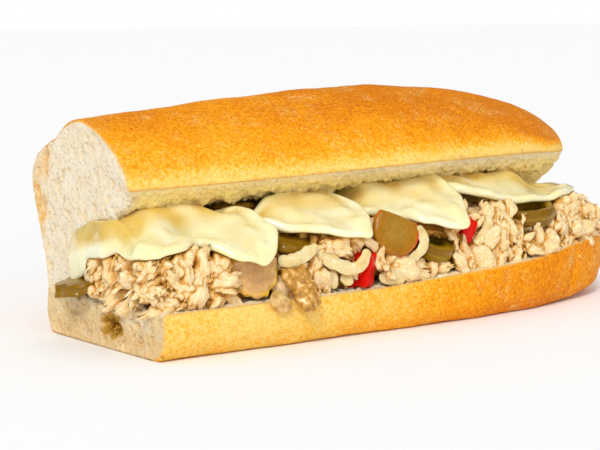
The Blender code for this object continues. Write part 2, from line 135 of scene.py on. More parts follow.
class Look:
    """A procedural material, built round its Principled shader. Patterns are sized in millimetres."""

    def __init__(self, name, constants):
        self.material = bpy.data.materials.new(name)
        self.material.use_nodes = True
        self.tree = self.material.node_tree
        self.shader = self.tree.nodes["Principled BSDF"]
        for socket, value in constants.items():
            self.shader.inputs[socket].default_value = value

    def node(self, kind, settings=None, values=None, output=0):
        """Adds a node: its settings first, then the values or links of its sockets."""
        made = self.tree.nodes.new(kind)
        for name, value in (settings or {}).items():
            if name == "stops":
                self.set_stops(made.color_ramp, value)
            else:
                setattr(made, name, value)
        for name, value in (values or {}).items():
            if isinstance(value, Socket):
                self.tree.links.new(value.source, made.inputs[name])
            else:
                made.inputs[name].default_value = value
        return Socket(self, made.outputs[output])

    @staticmethod
    def set_stops(ramp, stops):
        while len(ramp.elements) < len(stops):
            ramp.elements.new(1.0)
        for element, (position, colour) in zip(ramp.elements, stops):
            element.position = position
            element.color = (*colour, 1.0)

    def attribute(self, name, output="Fac"):
        return self.node("ShaderNodeAttribute", {"attribute_name": name}, output=output)

    def places(self, stretch=(1.0, 1.0, 1.0), source=None):
        """Object coordinates, or those of `source`, in millimetres and stretched."""
        source = source or self.node("ShaderNodeTexCoord", output="Object")
        scale = tuple(1.0 / (MM * s) for s in stretch)
        return self.node("ShaderNodeMapping", {}, {"Vector": source, "Scale": scale})

    def noise(self, size, detail=2.0, places=None, distortion=0.0, roughness=0.5):
        values = {
            "Vector": places or self.places(),
            "Scale": 1.0 / size,
            "Detail": detail,
            "Distortion": distortion,
            "Roughness": roughness,
        }
        return self.node("ShaderNodeTexNoise", {}, values)

    def pores(self, size):
        """Distance to the nearest of scattered points, in cells of `size` millimetres."""
        values = {"Vector": self.places(), "Scale": 1.0 / size, "Randomness": 1.0}
        return self.node("ShaderNodeTexVoronoi", {"feature": "SMOOTH_F1"}, values, output="Distance")

    def ramp(self, value, stops):
        return self.node("ShaderNodeValToRGB", {"stops": stops}, {"Fac": value})

    def mix(self, share, first, second):
        """Colour `first`, turning into `second` as `share` goes from 0 to 1."""
        first, second = (c if isinstance(c, Socket) else (*c, 1.0) for c in (first, second))
        values = {"Factor": share, 6: first, 7: second}
        return self.node("ShaderNodeMix", {"data_type": "RGBA", "clamp_factor": True}, values, output=2)

    def shade(self, colour, share):
        """The colour made darker or lighter by the number `share`."""
        return self.node("ShaderNodeVectorMath", {"operation": "SCALE"}, {0: colour, "Scale": share})

    def finish(self, colour, roughness, height, depth, strength):
        """Feeds the shader. The relief is `depth` millimetres deep where `height` goes from 0 to 1."""
        values = {"Strength": strength, "Distance": depth * MM, "Height": height}
        bump = self.node("ShaderNodeBump", {}, values)
        for socket, value in (("Base Color", colour), ("Roughness", roughness), ("Normal", bump)):
            self.tree.links.new(value.source, self.shader.inputs[socket])
        return self


def moist_look(name, soft, radius, reach, gloss, coat=0.0, coat_roughness=0.03):
    """The look of food that light sinks into, to `reach` metres, under a wet coat where one is given."""
    return Look(name, {
        "Subsurface Weight": soft,
        "Subsurface Radius": radius,
        "Subsurface Scale": reach,
        "Specular IOR Level": gloss,
        "Coat Weight": coat,
        "Coat Roughness": coat_roughness,
    })


# ---------------------------------------------------------------- mesh tools


def smoothstep(low, high, value):
    t = np.clip((value - low) / (high - low), 0.0, 1.0)
    return t * t * (3.0 - 2.0 * t)


def mound(*ways):
    """1 in the middle and 0 far off, for each way given as (value, middle, width)."""
    return np.exp(-sum(((value - middle) / width) ** 2 for value, middle, width in ways))


def packed_copy(node):
    """The packed node's mesh in millimetres, its loose triangles merged and made quads where they pair."""
    bm = bmesh.new()
    bm.from_mesh(frame["nodes"][node].data)
    bmesh.ops.scale(bm, vec=(1 / MM,) * 3, verts=bm.verts)
    bmesh.ops.remove_doubles(bm, verts=bm.verts, dist=0.01)
    bmesh.ops.join_triangles(
        bm, faces=bm.faces, angle_face_threshold=math.radians(25), angle_shape_threshold=math.radians(60)
    )
    bm.normal_update()
    return bm


def crease_sharp_edges(bm, degrees, amount=1.0):
    layer = bm.edges.layers.float.get("crease_edge") or bm.edges.layers.float.new("crease_edge")
    for edge in bm.edges:
        if edge.is_manifold and edge.calc_face_angle() > math.radians(degrees):
            edge[layer] = amount


def with_modifiers(bm, *modifiers):
    """A new bmesh with these modifiers applied; the old one is freed."""
    mesh = bpy.data.meshes.new("draft")
    bm.to_mesh(mesh)
    bm.free()
    draft = bpy.data.objects.new("draft", mesh)
    bpy.context.scene.collection.objects.link(draft)
    for kind, settings in modifiers:
        modifier = draft.modifiers.new(kind.title(), kind)
        for name, value in settings.items():
            setattr(modifier, name, value)
    shaped = draft.evaluated_get(bpy.context.evaluated_depsgraph_get())
    made = bmesh.new()
    made.from_mesh(shaped.to_mesh())
    shaped.to_mesh_clear()
    bpy.data.objects.remove(draft)
    bpy.data.meshes.remove(mesh)
    made.normal_update()
    return made


def rounded(bm, levels):
    return with_modifiers(bm, ("SUBSURF", {"levels": levels, "render_levels": levels}))


def tree_of(faces):
    """A search tree of these faces, for the distance to them."""
    points = [v.co.copy() for f in faces for v in f.verts]
    corners = iter(range(len(points)))
    return BVHTree.FromPolygons(points, [[next(corners) for _ in f.verts] for f in faces])


def node_tree(node):
    bm = packed_copy(node)
    tree = BVHTree.FromBMesh(bm)
    bm.free()
    return tree


def piece_tree(name):
    """A search tree, in millimetres, of a piece that is already made."""
    mesh = bpy.data.objects[name].data
    return BVHTree.FromPolygons([v.co / MM for v in mesh.vertices], [f.vertices for f in mesh.polygons])


def distance(tree, point, limit=60.0):
    found = tree.find_nearest(point, limit)
    return limit if found[0] is None else found[3]


def store(bm, **attributes):
    """Keeps one number for each vertex under each name, for the materials to read."""
    for name, values in attributes.items():
        layer = bm.verts.layers.float.new(name)
        for vert, value in zip(bm.verts, values):
            vert[layer] = float(value)


def chance(cell, salt):
    """A steady number from 0 to 1 for each whole-numbered cell, its bits mixed by large odd factors."""
    mixed = cell.astype(np.int64) @ np.array([73856093, 19349663, 83492791]) + salt * 2654435761
    mixed = (mixed ^ (mixed >> 13)) * 1274126177 & 0xFFFFFFFF
    mixed = (mixed ^ (mixed >> 16)) * 2246822519 & 0xFFFFFFFF
    return (mixed >> 8) / float(1 << 24)


def bubbles(points, size, share, radii, salt):
    """How deep each point lies in scattered bubbles, in millimetres. `size` is the cell of one bubble,
    `share` how many of the cells hold one, and `radii` the smallest and largest radius in cells."""
    scaled = points / np.array(size)
    whole = np.floor(scaled)
    deepest = np.zeros(len(points))
    for step in np.ndindex(3, 3, 3):
        cell = whole + np.array(step) - 1.0
        centre = cell + np.stack([chance(cell, salt + k) for k in range(3)], axis=1)
        radius = radii[0] + (radii[1] - radii[0]) * chance(cell, salt + 3) ** 2
        held = chance(cell, salt + 4) < share
        inside = 1.0 - (np.linalg.norm(scaled - centre, axis=1) / radius) ** 2
        depth = np.sqrt(np.clip(inside, 0.0, 1.0)) * radius * min(size) * held
        deepest = np.maximum(deepest, depth)
    return deepest


def waves(points, size, salt):
    """Smooth noise from -1 to 1 with features of about `size` millimetres."""
    away = Vector((salt, 3.1 * salt, 7.7 * salt))
    return np.array([noise.noise(Vector(p) / size + away) for p in points])


def coordinates(bm):
    return np.array([v.co for v in bm.verts])


def normals(bm):
    return np.array([v.normal for v in bm.verts])


def place_all(bm, points):
    for vert, point in zip(bm.verts, points):
        vert.co = point
    bm.normal_update()


def add_piece(name, bm, look, replaced=()):
    """Makes the piece from a bmesh in millimetres."""
    bmesh.ops.scale(bm, vec=(MM,) * 3, verts=bm.verts)
    mesh = bpy.data.meshes.new(name)
    bm.to_mesh(mesh)
    bm.free()
    return add_mesh(name, mesh, look, replaced)


def add_mesh(name, mesh, look, replaced=()):
    """Makes the piece from a mesh in metres, fastens it to the roll's body and hides the packed nodes that
    it replaces.
    """
    mesh.materials.append(look.material)
    mesh.shade_smooth()
    piece = bpy.data.objects.new(name, mesh)
    bpy.context.scene.collection.objects.link(piece)
    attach(piece, BODY)
    if replaced:
        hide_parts(*replaced)
    return piece


# ---------------------------------------------------------------- the roll


def surface_kind(face):
    """Which surface of the roll a packed face belongs to: the cut end, the mouth's crumb or the crust."""
    centre = face.calc_center_median()
    normal = face.normal
    in_lower_half = centre.z < LOWER_TOP
    if centre.x < CUT_X + 0.3 and normal.x < -0.9:
        return "cut"
    if in_lower_half and normal.z > 0.7:
        return "mouth"
    if not in_lower_half and normal.z < -0.25 and normal.y < 0.5:
        return "mouth"
    if abs(normal.y + 1.0) < 0.2 and centre.y > 4.0:
        return "mouth"
    if normal.x > 0.9 and centre.y > 4.0 and 12.0 < centre.z < 36.0:
        return "mouth"
    return "crust"


def bread_body(settings):
    """The roll as one fine even mesh, finest where the crumb shows, with the distance of each point to
    each kind of surface."""
    packed = packed_copy("bread")
    by_kind = {"cut": [], "mouth": [], "crust": []}
    for face in packed.faces:
        by_kind[surface_kind(face)].append(face)
    trees = {kind: tree_of(faces) for kind, faces in by_kind.items()}
    crease_sharp_edges(packed, degrees=38)
    smooth = rounded(packed, levels=2)
    surface = BVHTree.FromBMesh(smooth)
    body = with_modifiers(
        smooth, ("REMESH", {"mode": "VOXEL", "voxel_size": settings.mesh_size / MM, "adaptivity": 0.0})
    )

    def split(wanted, cuts):
        edges = {e for f in body.faces if wanted(f.calc_center_median()) for e in f.edges}
        bmesh.ops.subdivide_edges(body, edges=list(edges), cuts=cuts, use_grid_fill=True)

    split(lambda c: distance(trees["cut"], c) < 0.8, cuts=3)
    split(lambda c: distance(trees["mouth"], c) < 0.9 and c.x > -73.0 and is_at_mouth(c), cuts=2)
    for vert in body.verts:
        vert.co = surface.find_nearest(vert.co)[0]
    body.normal_update()
    kinds = {k: np.array([distance(t, v.co) for v in body.verts]) for k, t in trees.items()}
    return body, kinds


def is_at_mouth(point):
    """Where the crumb shows at the mouth: the upper half's front band and the lower half's front edge."""
    if point.z > UPPER_MOUTH:
        return point.y < 3.0
    return point.z < LOWER_TOP + 1.0 and point.y < -13.0


# Hollows of the cut end: (y, z, half width, half height, depth).
CUT_HOLLOWS = [
    (24.3, 41.1, 1.1, 3.8, 1.7),
    (25.7, 29.8, 0.9, 2.4, 1.4),
    (-1.8, 10.6, 6.5, 1.3, 1.0),
    (-3.8, 5.2, 4.6, 2.6, 1.5),
    (11.8, 6.5, 2.6, 0.8, 1.0),
    (-19.8, 2.8, 0.9, 0.9, 0.9),
    (19.0, 36.0, 0.8, 2.2, 0.9),
    (8.0, 44.0, 0.9, 1.8, 0.8),
]


def cut_hollows(points):
    """How deep each point lies in the few larger hollows of the cut end."""
    x, y, z = points.T
    ragged = 1.0 + 0.35 * waves(points, 1.6, 9.0)
    depth = np.zeros(len(points))
    for y0, z0, wide, high, deep in CUT_HOLLOWS:
        away = np.hypot((y - y0) / wide, (z - z0) / high) * ragged
        depth = np.maximum(depth, deep * smoothstep(1.15, 0.55, away))
    return depth * (x < CUT_X + 2.0)


def roughen_bread(body, kinds, settings):
    """Pores in the crumb, torn edges at the mouth, and a crust that isn't quite even."""
    points = coordinates(body)
    outward = normals(body)
    crumb = smoothstep(-0.25, 0.25, kinds["crust"] - np.minimum(kinds["cut"], kinds["mouth"]))
    on_cut = crumb * (kinds["cut"] <= kinds["mouth"])
    at_mouth = crumb * (kinds["cut"] > kinds["mouth"])
    inside = smoothstep(0.5, 1.8, kinds["crust"])
    bent = points.copy()
    bent[:, 1] += 0.7 * waves(points, 5.0, 1.0)
    bent[:, 2] += 0.5 * waves(points, 5.0, 2.0)
    size = settings.pore_size / MM
    fine = bubbles(bent, (size, 0.85 * size, size), 0.85, (0.2, 0.58), 10)
    wide = bubbles(bent, (3 * size, 1.5 * size, 2.4 * size), 0.4, (0.16, 0.36), 30)
    hollow = np.maximum(fine, 1.1 * wide) * inside
    lower = smoothstep(13.0, 8.0, points[:, 2])
    drop = hollow * settings.pore_depth * crumb * (1.0 + 0.9 * lower)
    folds = points * np.array([1.0, 0.55, 1.0])
    drop += 0.5 * waves(folds, 5.5, 3.0) * on_cut * inside
    drop += cut_hollows(points) * on_cut
    lumps = np.abs(waves(points, 2.2, 4.0)) - 0.25
    torn = 1.0 * lumps + 0.5 * waves(points, 1.1, 5.0)
    drop += torn * at_mouth * smoothstep(0.2, 2.5, kinds["crust"])
    folded = smoothstep(18.0, 26.0, points[:, 1]) * smoothstep(55.0, 46.0, points[:, 2])
    swell = 0.35 * waves(points, 14.0, 6.0) + (0.12 + 0.4 * folded) * waves(points, 4.0, 7.0)
    drop -= swell * (1.0 - crumb)
    drop += crease_depth(points) * (1.0 - crumb)
    drop[points[:, 2] < 0.3] = 0.0
    moved = points - outward * drop[:, None]
    moved[:, 2] -= ragged_fringe(points) * at_mouth
    moved[:, 2] *= smoothstep(0.0, 1.7, moved[:, 2])
    place_all(body, moved)
    # Painted shade: the pore colour comes in with the depth of the pores, and more of it towards the bottom
    # of the cut end.
    dense = 1.5 * lower * on_cut * (0.7 + 0.8 * waves(points, 4.5, 19.0))
    return crumb, np.clip(0.6 * hollow + dense, 0.0, 1.0)


def ragged_fringe(points):
    """How far the torn crumb hangs down along the upper half's edge over the mouth."""
    _, y, z = points.T
    edge = smoothstep(-13.0, -7.0, y) * smoothstep(3.0, -3.0, y) * smoothstep(38.0, 34.5, z)
    edge *= z > UPPER_MOUTH
    shape = 0.8 * waves(points, 3.4, 8.0) + 0.6 * waves(points, 1.5, 8.5)
    return edge * np.clip(0.5 + 1.6 * shape, 0.0, 1.8)


def crease_depth(points):
    """The folds of the lower half's crust: one upright near its end and one along its front."""
    x, y, z = points.T
    front = smoothstep(-4.0, -12.0, y) * smoothstep(18.0, 13.0, z)
    upright = mound((x - 56.5, 0.12 * (z - 8.0), 1.1)) * smoothstep(1.0, 4.0, z)
    height = 5.4 + 1.6 * np.sin(x / 17.0) + 0.02 * x
    along = mound((z, height, 0.9)) * smoothstep(-30.0, 10.0, x) * 0.35
    return front * (0.9 * upright + along)


def browning(points, kinds, settings):
    """How brown the crust is: pale where it was cut or pressed, brown on the crown and underneath."""
    x, y, z = points.T
    upper = smoothstep(18.0, 26.0, z)
    edge = kinds["mouth"]
    crown = 0.04 + 0.46 * smoothstep(0.3, 5.5, edge) + 0.3 * smoothstep(4.0, 22.0, edge)
    crown += 0.34 * smoothstep(-50.0, 50.0, x) * smoothstep(1.0, 8.0, edge)
    crown += 0.55 * smoothstep(40.0, 68.0, x) * smoothstep(0.5, 3.0, edge)
    side = 0.10 + 0.72 * smoothstep(-45.0, 45.0, x) + 0.14 * smoothstep(6.0, 0.5, z)
    back = 0.55 + 0.15 * smoothstep(20.0, 30.0, z)
    side = np.where(y > 0.0, side + (back - side) * smoothstep(0.0, 12.0, y), side)
    tone = side + (crown - side) * upper
    under = smoothstep(0.6, 0.0, z)
    return np.clip(tone + 0.25 * under, 0.0, 1.0) * settings.bake


def soaked(points):
    """How far the filling's juice and fat have coloured the crumb, with painted light that warms and
    brightens the shaded crumb at the mouth, and where the darkest spot is.
    """
    x, y, z = points.T
    mouth = smoothstep(40.0, 34.0, z) * smoothstep(CUT_X, CUT_X + 6.0, x) * (z > 9.0)
    mouth *= 0.3 + 0.7 * (z > 20.0)
    end = smoothstep(CUT_X + 3.0, CUT_X, x)
    seep = mound((y, -12.0, 12.0), (z, 11.0, 2.0)) * end
    dense = 0.4 * smoothstep(13.0, 8.0, z) * end * smoothstep(-0.2, 0.4, waves(points, 4.5, 14.0))
    spot = mound((y, -3.8, 4.8), (z, 5.4, 3.1)) * (x < CUT_X + 3.0)
    return np.clip(mouth + seep * 0.5 + dense, 0.0, 1.0), spot


def tanned(points):
    """Where the cut end passes through folds of crust beside the hinge."""
    x, y, z = points.T
    fold = mound((y, 24.0, 1.5), (z, 41.5, 4.2))
    lower = 0.6 * mound((y, 25.7, 1.2), (z, 30.0, 2.6))
    hinge = smoothstep(23.0, 29.0, y) * smoothstep(50.0, 30.0, z)
    base = 0.3 * smoothstep(10.0, 2.0, z)
    tan = (fold + lower + hinge + base) * (0.8 + 0.8 * waves(points, 1.7, 13.0))
    return np.clip(tan, 0.0, 1.0) * smoothstep(CUT_X + 4.0, CUT_X + 1.0, x)


def bread_look(settings):
    """Golden crust and cream crumb in one material, told apart by what the mesh says at each point."""
    look = moist_look("roll", 0.15, (1.0, 0.55, 0.25), 0.0012, 0.06)
    crumb = look.attribute("crumb")
    grain = look.noise(0.75, 3.0, roughness=0.7)
    mottle = look.noise(3.0, 4.0, roughness=0.6)
    patch = look.noise(17.0, 2.0)
    tone = look.attribute("browning") + 0.4 * (patch - 0.5) + 0.5 * (mottle - 0.5) + 1.5 * (grain - 0.5)
    crust = look.ramp(tone, [
        (0.0, settings.pale_crust),
        (0.32, settings.straw_crust),
        (0.58, settings.golden_crust),
        (0.82, settings.brown_crust),
        (1.0, settings.dark_crust),
    ])
    line = abs(look.noise(2.2, 2.0, distortion=1.8) - 0.5).step(0.035, 0.01)
    fleck = line * look.noise(6.0, 2.0).step(0.5, 0.66)
    speck = look.pores(1.1).step(0.25, 0.1) * look.noise(5.0, 2.0).step(0.4, 0.6)
    crust = look.mix(fleck * 0.72 + speck * 0.4, crust, settings.fleck)
    tint = look.noise(3.5, 3.0)
    cream = look.mix(tint.step(0.35, 0.7), settings.crumb, settings.warm_crumb)
    # Juice colour, and painted light: warm bright colour on the crumb of the mouth, which lies in shade.
    cream = look.mix(look.attribute("soaked") * (0.95 + 0.5 * (tint - 0.5)), cream, settings.soaked_crumb)
    # Painted shade in the pores, and darker towards the bottom of the cut end.
    cream = look.mix(look.attribute("hollow") * 0.85, cream, settings.pore)
    cream = look.mix(look.attribute("tan"), cream, settings.rim)
    blots = look.noise(1.8, 4.0, roughness=0.7)
    stain = look.attribute("stain") + 0.9 * (blots - 0.5)
    cream = look.mix(stain.step(0.2, 0.55), cream, settings.stain)
    darkest = stain.step(0.45, 0.85) * look.noise(1.3, 3.0).step(0.4, 0.6)
    cream = look.mix(darkest, cream, settings.dark_stain)
    cream = look.mix((look.attribute("rim") + 0.5 * (grain - 0.5)).step(0.25, 0.75), cream, settings.rim)
    fine_pores = look.pores(0.9).step(0.1, 0.45) * crumb
    wrinkle = (1.0 - line * 0.6) * (1.0 - crumb)
    relief = fine_pores + 0.8 * grain + wrinkle * 0.4 + 0.3 * mottle
    roughness = 0.5 + 0.4 * crumb + 0.2 * (grain - 0.5)
    return look.finish(look.mix(crumb, crust, cream), roughness, relief, 0.25, 0.9)


def make_bread(settings):
    """The roll, with what its material reads at each point."""
    body, kinds = bread_body(settings)
    crumb, hollow = roughen_bread(body, kinds, settings)
    points = coordinates(body)
    # The first mask is juice colour and painted light on the shaded crumb of the mouth.
    juice, stain = soaked(points)
    brown = browning(points, kinds, settings)
    rim = smoothstep(1.1, 0.2, kinds["crust"])
    store(body, crumb=crumb, hollow=hollow, browning=brown, rim=rim)
    store(body, soaked=juice, stain=stain, tan=tanned(points))
    return add_piece("bread_roll", body, bread_look(settings), ["bread"])


# ---------------------------------------------------------------- the cheese


CHEESE_NODES = [f"cheese_slice_{number}" for number in (1, 2, 3, 4)]


def cheese_look(settings):
    """Clouded melted cheese, browner where it has run thin and with painted shade in its valleys and under
    the roof, under a smooth coat of its own fat.
    """
    look = moist_look("melted_cheese", 0.5, (1.0, 0.8, 0.35), 0.003, 0.5, 0.8, 0.07)
    cloud = look.noise(9.0, 2.0)
    thin = look.attribute("thin")
    colour = look.mix(cloud.step(0.3, 0.7), settings.cheese, settings.pale_cheese)
    # The thin colour is both thin cheese and painted shade.
    colour = look.mix(thin * (0.85 + 1.3 * (cloud - 0.5)), colour, settings.thin_cheese)
    relief = look.noise(3.4, 1.0) + 0.05 * look.noise(1.1, 1.0)
    return look.finish(colour, 0.2 + 0.16 * look.noise(3.5, 2.0), relief, 0.18, 0.6)


def headroom():
    """Places in X and Y under the roof of the mouth, and the gap between it and the slices at each."""
    roof = node_tree("bread")
    trees = [node_tree(node) for node in CHEESE_NODES]
    across, along = np.arange(-73.0, 70.0, 3.0), np.arange(-7.0, 12.0, 3.0)
    gaps = np.zeros((len(across), len(along)))
    for i, x in enumerate(across):
        gap = 1.5
        for j, y in enumerate(along):
            above = roof.ray_cast(Vector((x, max(y, -5.0), 22.0)), UP)[0]
            tops = [tree.ray_cast(Vector((x, y, 60.0)), -UP)[0] for tree in trees]
            tops = [top.z for top in tops if top]
            gap = max(above.z - max(tops), 0.0) if above and tops else gap
            gaps[i, j] = gap
    smooth = [np.convolve(np.pad(column, 1, "edge"), np.ones(3) / 3, "valid") for column in gaps.T]
    return across, along, np.array(smooth)


def lift(points, room):
    """How far the slices rise behind their hanging edge, up to the roof of the mouth. Two gaps stay open,
    and the end that folds over the cut face rises at its top only."""
    x, y, z = points.T
    across, along, gaps = room
    by_row = np.stack([np.interp(x, across, row) for row in gaps])
    spot = np.clip((y - along[0]) / (along[1] - along[0]), 0.0, len(along) - 1.001)
    row = spot.astype(int)
    here = np.arange(len(x))
    rise = by_row[row, here] * (1.0 - spot + row) + by_row[row + 1, here] * (spot - row) + 0.5
    rise *= 1.0 - smoothstep(42.0, 54.0, x)
    rise -= (rise + 1.3) * smoothstep(-53.0, -49.0, x) * smoothstep(-34.0, -40.0, x)
    rise -= 0.8 * rise * smoothstep(-19.0, -15.0, x) * smoothstep(-5.0, -10.0, x)
    rise *= smoothstep(-17.0, -7.0, y)
    on_end = smoothstep(-73.5, -75.5, x)
    foot = 21.5 - 0.27 * (y + 8.0)
    return (rise + 1.2 * on_end) * (1.0 - on_end * smoothstep(foot + 5.0, foot, z))


def spread(points):
    """How far the end over the cut face has spread, up towards the hinge and down towards the heap."""
    x, y, z = points.T
    share = smoothstep(-71.5, -74.5, x)
    up = smoothstep(-2.0, 8.0, y) * smoothstep(16.5, 21.0, z) * share
    down = smoothstep(22.0, 18.5, z) * smoothstep(11.0, 5.0, y) * smoothstep(-8.0, 2.0, y) * share
    below = smoothstep(26.5, 23.5, z) * smoothstep(-10.0, -4.0, y) * smoothstep(10.0, 5.0, y) * share
    return np.stack([0.0 * x, 3.2 * up - 3.6 * down, 2.0 * up - 0.6 * down - 2.4 * below], axis=1)


def hang(points):
    """How far the slices hang lower in front than packed: over the meat near the cut end, and over the
    right brined slice."""
    x, y, _ = points.T
    over_meat = 2.6 * mound((x, -60.0, 6.0)) * smoothstep(-10.5, -16.0, y)
    return over_meat + 1.9 * mound((x, -3.5, 4.5)) * smoothstep(-13.0, -18.5, y)


def drip(points):
    """How far the first slice has run down the cut end beside the hinge."""
    x, y, z = points.T
    return 3.6 * smoothstep(-72.0, -75.0, x) * smoothstep(2.0, 11.0, y) * smoothstep(24.0, 19.0, z)


def film(points):
    """Where the first slice has melted to a clear film on the cut end."""
    x, y, z = points.T
    edge = 20.5 + 0.25 * (10.9 - y)
    return smoothstep(-71.0, -75.0, x) * smoothstep(edge - 0.4, edge + 1.2, z)


def make_cheese_slice(node, settings, look, room):
    """A melted slice: soft all over, waved by what it lies on, with a thick rolled edge where it hangs."""
    bm = packed_copy(node)
    sharp = {e for e in bm.edges if e.is_manifold and e.calc_face_angle() > math.radians(50)}
    rim = tree_of([f for f in bm.faces if sum(e in sharp for e in f.edges) >= 2])
    body = rounded(bm, levels=3)
    points = coordinates(body)
    to_rim = np.array([distance(rim, p) for p in points])
    outward = normals(body)
    faces_out = smoothstep(-0.3, 0.5, outward @ np.array([-0.25, -0.65, 0.72]))
    hanging = smoothstep(-2.0, -12.0, points[:, 1])
    uneven = 1.0 + 0.45 * waves(points, 6.5, 17.0)
    bead = np.exp(-((to_rim - 0.5) ** 2) / 1.8) * (0.45 + 0.55 * faces_out) * uneven
    valley = 0.45 * np.exp(-((to_rim - 3.6) ** 2) / 2.5) * faces_out
    swell = settings.bead / MM * (bead - valley) * hanging
    seed = 11.0 + CHEESE_NODES.index(node)
    broad = [waves(points, 7.0, seed + k) for k in range(3)]
    sag = np.stack([w + 0.1 * waves(points, 3.4, seed + 5 + k) for k, w in enumerate(broad)], axis=1)
    sag *= settings.wave / MM
    sag[:, 2] += lift(points, room) - drip(points) - hang(points)
    moved = points + sag + spread(points) + outward * swell[:, None]
    place_all(body, moved)
    # Painted shade: the valleys of the waves and the part under the roof of the mouth turn browner, as does
    # the thin film on the cut end.
    sunk = smoothstep(0.15, -0.35, broad[2] + 0.3 * broad[1]) * smoothstep(1.8, 4.0, to_rim)
    pressed = smoothstep(-17.0, -11.5, points[:, 1]) * smoothstep(1.0, 3.0, to_rim)
    pressed *= 0.75 + 0.7 * waves(points, 8.0, seed + 9.0)
    store(body, thin=np.clip(0.35 * sunk + pressed + 0.75 * film(moved), 0.0, 1.0))
    return add_piece(node + "_melted", body, look, [node])


# ---------------------------------------------------------------- the chicken


def chicken_look(name, settings, wet):
    """Cooked white meat: pale fibres, and juice colours that stand both for juice between the pieces and
    for painted shade in their gaps, creases and undersides.
    """
    look = moist_look(name, 0.15, (1.0, 0.7, 0.4), 0.001, 0.3)
    along = look.attribute("fibre", "Vector")
    fibres = look.noise(0.5, 2.0, places=look.places((7.0, 1.0, 1.0), source=along))
    grain = look.noise(0.8, 3.0, roughness=0.6)
    blotch = look.noise(4.0, 3.0)
    colour = look.mix(blotch.step(0.5, 0.72) * 0.7, settings.chicken, settings.pink_chicken)
    colour = look.mix((fibres + 0.4 * (grain - 0.5)).step(0.44, 0.66) * 0.8, colour, settings.pale_chicken)
    # Painted shade and juice: the gaps, creases and undersides of the pieces turn to the juice colours.
    juice = look.attribute("deep") + 0.5 * (grain - 0.5) + wet * look.noise(1.8, 2.0).step(0.5, 0.7)
    colour = look.mix(juice.step(0.02, 0.55), colour, settings.juice)
    colour = look.mix(juice.step(0.6, 1.1), colour, settings.deep_juice)
    return look.finish(colour, 0.52 - 0.3 * blotch.step(0.3, 0.7), fibres + 1.6 * grain, 0.3, 0.9)


# The grid on which the cheese round the heap is looked up: how many points it has in X, Y and Z, how many
# to a millimetre, and how far on the minus side it starts. NO_CHEESE is a height that nothing reaches.
GRID = (320, 100, 80)
PER_MM = 2
GRID_START = (80.0, 34.0, 0.0)
NO_CHEESE = 99.0


class Heap:
    """What surrounds the chicken, and where its pieces may lie."""

    def __init__(self):
        self.surface = node_tree("chicken")
        self.cheese = [piece_tree(node + "_melted") for node in CHEESE_NODES]
        self.ceiling = self.undersides()
        self.wall = self.inner_sides()
        names = [n for n in frame["nodes"] if n not in ("bread", "chicken", *CHEESE_NODES)]
        self.vegetables = [node_tree(n) for n in names]
        low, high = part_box("chicken")
        self.low, self.high = low / MM, high / MM

    def undersides(self):
        """How high meat may reach at each point of the grid in X and Y: up to the cheese, and in front of
        its hanging edge a little higher with every step."""
        heights = np.full(GRID[:2], NO_CHEESE)
        for i, j in np.ndindex(heights.shape):
            start = Vector((i / PER_MM - GRID_START[0], j / PER_MM - GRID_START[1], 5.0))
            hits = [tree.ray_cast(start, UP)[0] for tree in self.cheese]
            heights[i, j] = min([hit.z for hit in hits if hit], default=NO_CHEESE)
        for _ in range(10):
            behind = np.roll(heights, -1, axis=1)
            in_front = (heights == NO_CHEESE) & (behind < NO_CHEESE)
            heights = np.where(in_front, behind + 0.25, heights)
        return heights

    def inner_sides(self):
        """How far left meat may reach at each point of the grid in Y and Z: to the cheese's end."""
        places = np.full(GRID[1:], -NO_CHEESE)
        for i, j in np.ndindex(places.shape):
            start = Vector((-72.0, i / PER_MM - GRID_START[1], j / PER_MM))
            hits = [tree.ray_cast(start, Vector((-1.0, 0.0, 0.0)))[0] for tree in self.cheese]
            places[i, j] = max([hit.x for hit in hits if hit], default=-NO_CHEESE)
        return places

    def under_cheese(self, points):
        """The points, moved down or to the right where they would stand through the cheese."""
        x, y, z = points.T
        steps = np.round((points + np.array(GRID_START)) * PER_MM).astype(int)
        i, j, k = np.clip(steps, 0, np.array(GRID) - 1).T
        above = self.ceiling[i, j] - 0.2
        left = self.wall[j, k] + 0.2
        return np.stack([np.maximum(x, left), y, np.minimum(z, above)], axis=1)

    def seen_from(self, side, across, z):
        """The heap's surface as seen from one side: a point of it, and which way it faces there."""
        start, way = {
            "front": ((across, -60.0, z), (0.0, 1.0, 0.0)),
            "cut end": ((-110.0, across, z), (1.0, 0.0, 0.0)),
            "right end": ((110.0, across, z), (-1.0, 0.0, 0.0)),
        }[side]
        return self.surface.ray_cast(Vector(start), Vector(way))[:2]

    def room(self, point, outward):
        """How far a piece may stand out from `point` before it meets the cheese."""
        hits = [tree.ray_cast(point - outward * 1.0, outward, 9.0)[3] for tree in self.cheese]
        return min([h - 1.0 for h in hits if h is not None], default=9.0)

    def clear_of_vegetables(self, point):
        return min(distance(tree, point, 12.0) for tree in self.vegetables)


def frame_of(outward, angle):
    """A right-handed frame: X along the fibres, Z out of the heap."""
    z = outward.normalized()
    sideways = Vector((1.0, 0.0, 0.0)) - z * z.x
    if sideways.length < 0.2:
        sideways = Vector((0.0, 1.0, 0.0)) - z * z.y
    x = Matrix.Rotation(angle, 3, z) @ sideways.normalized()
    return Matrix((x, z.cross(x), z)).transposed()


# How near the cheese a chunk may come, in millimetres.
CLEARANCE = 0.4
# How many faces a piece of meat has round it and along it.
LEADING_CAGE = (48, 32)
CHUNK_CAGE = (24, 18)
SHRED_CAGE = (10, 12)
CRUMB_CAGE = (8, 7)


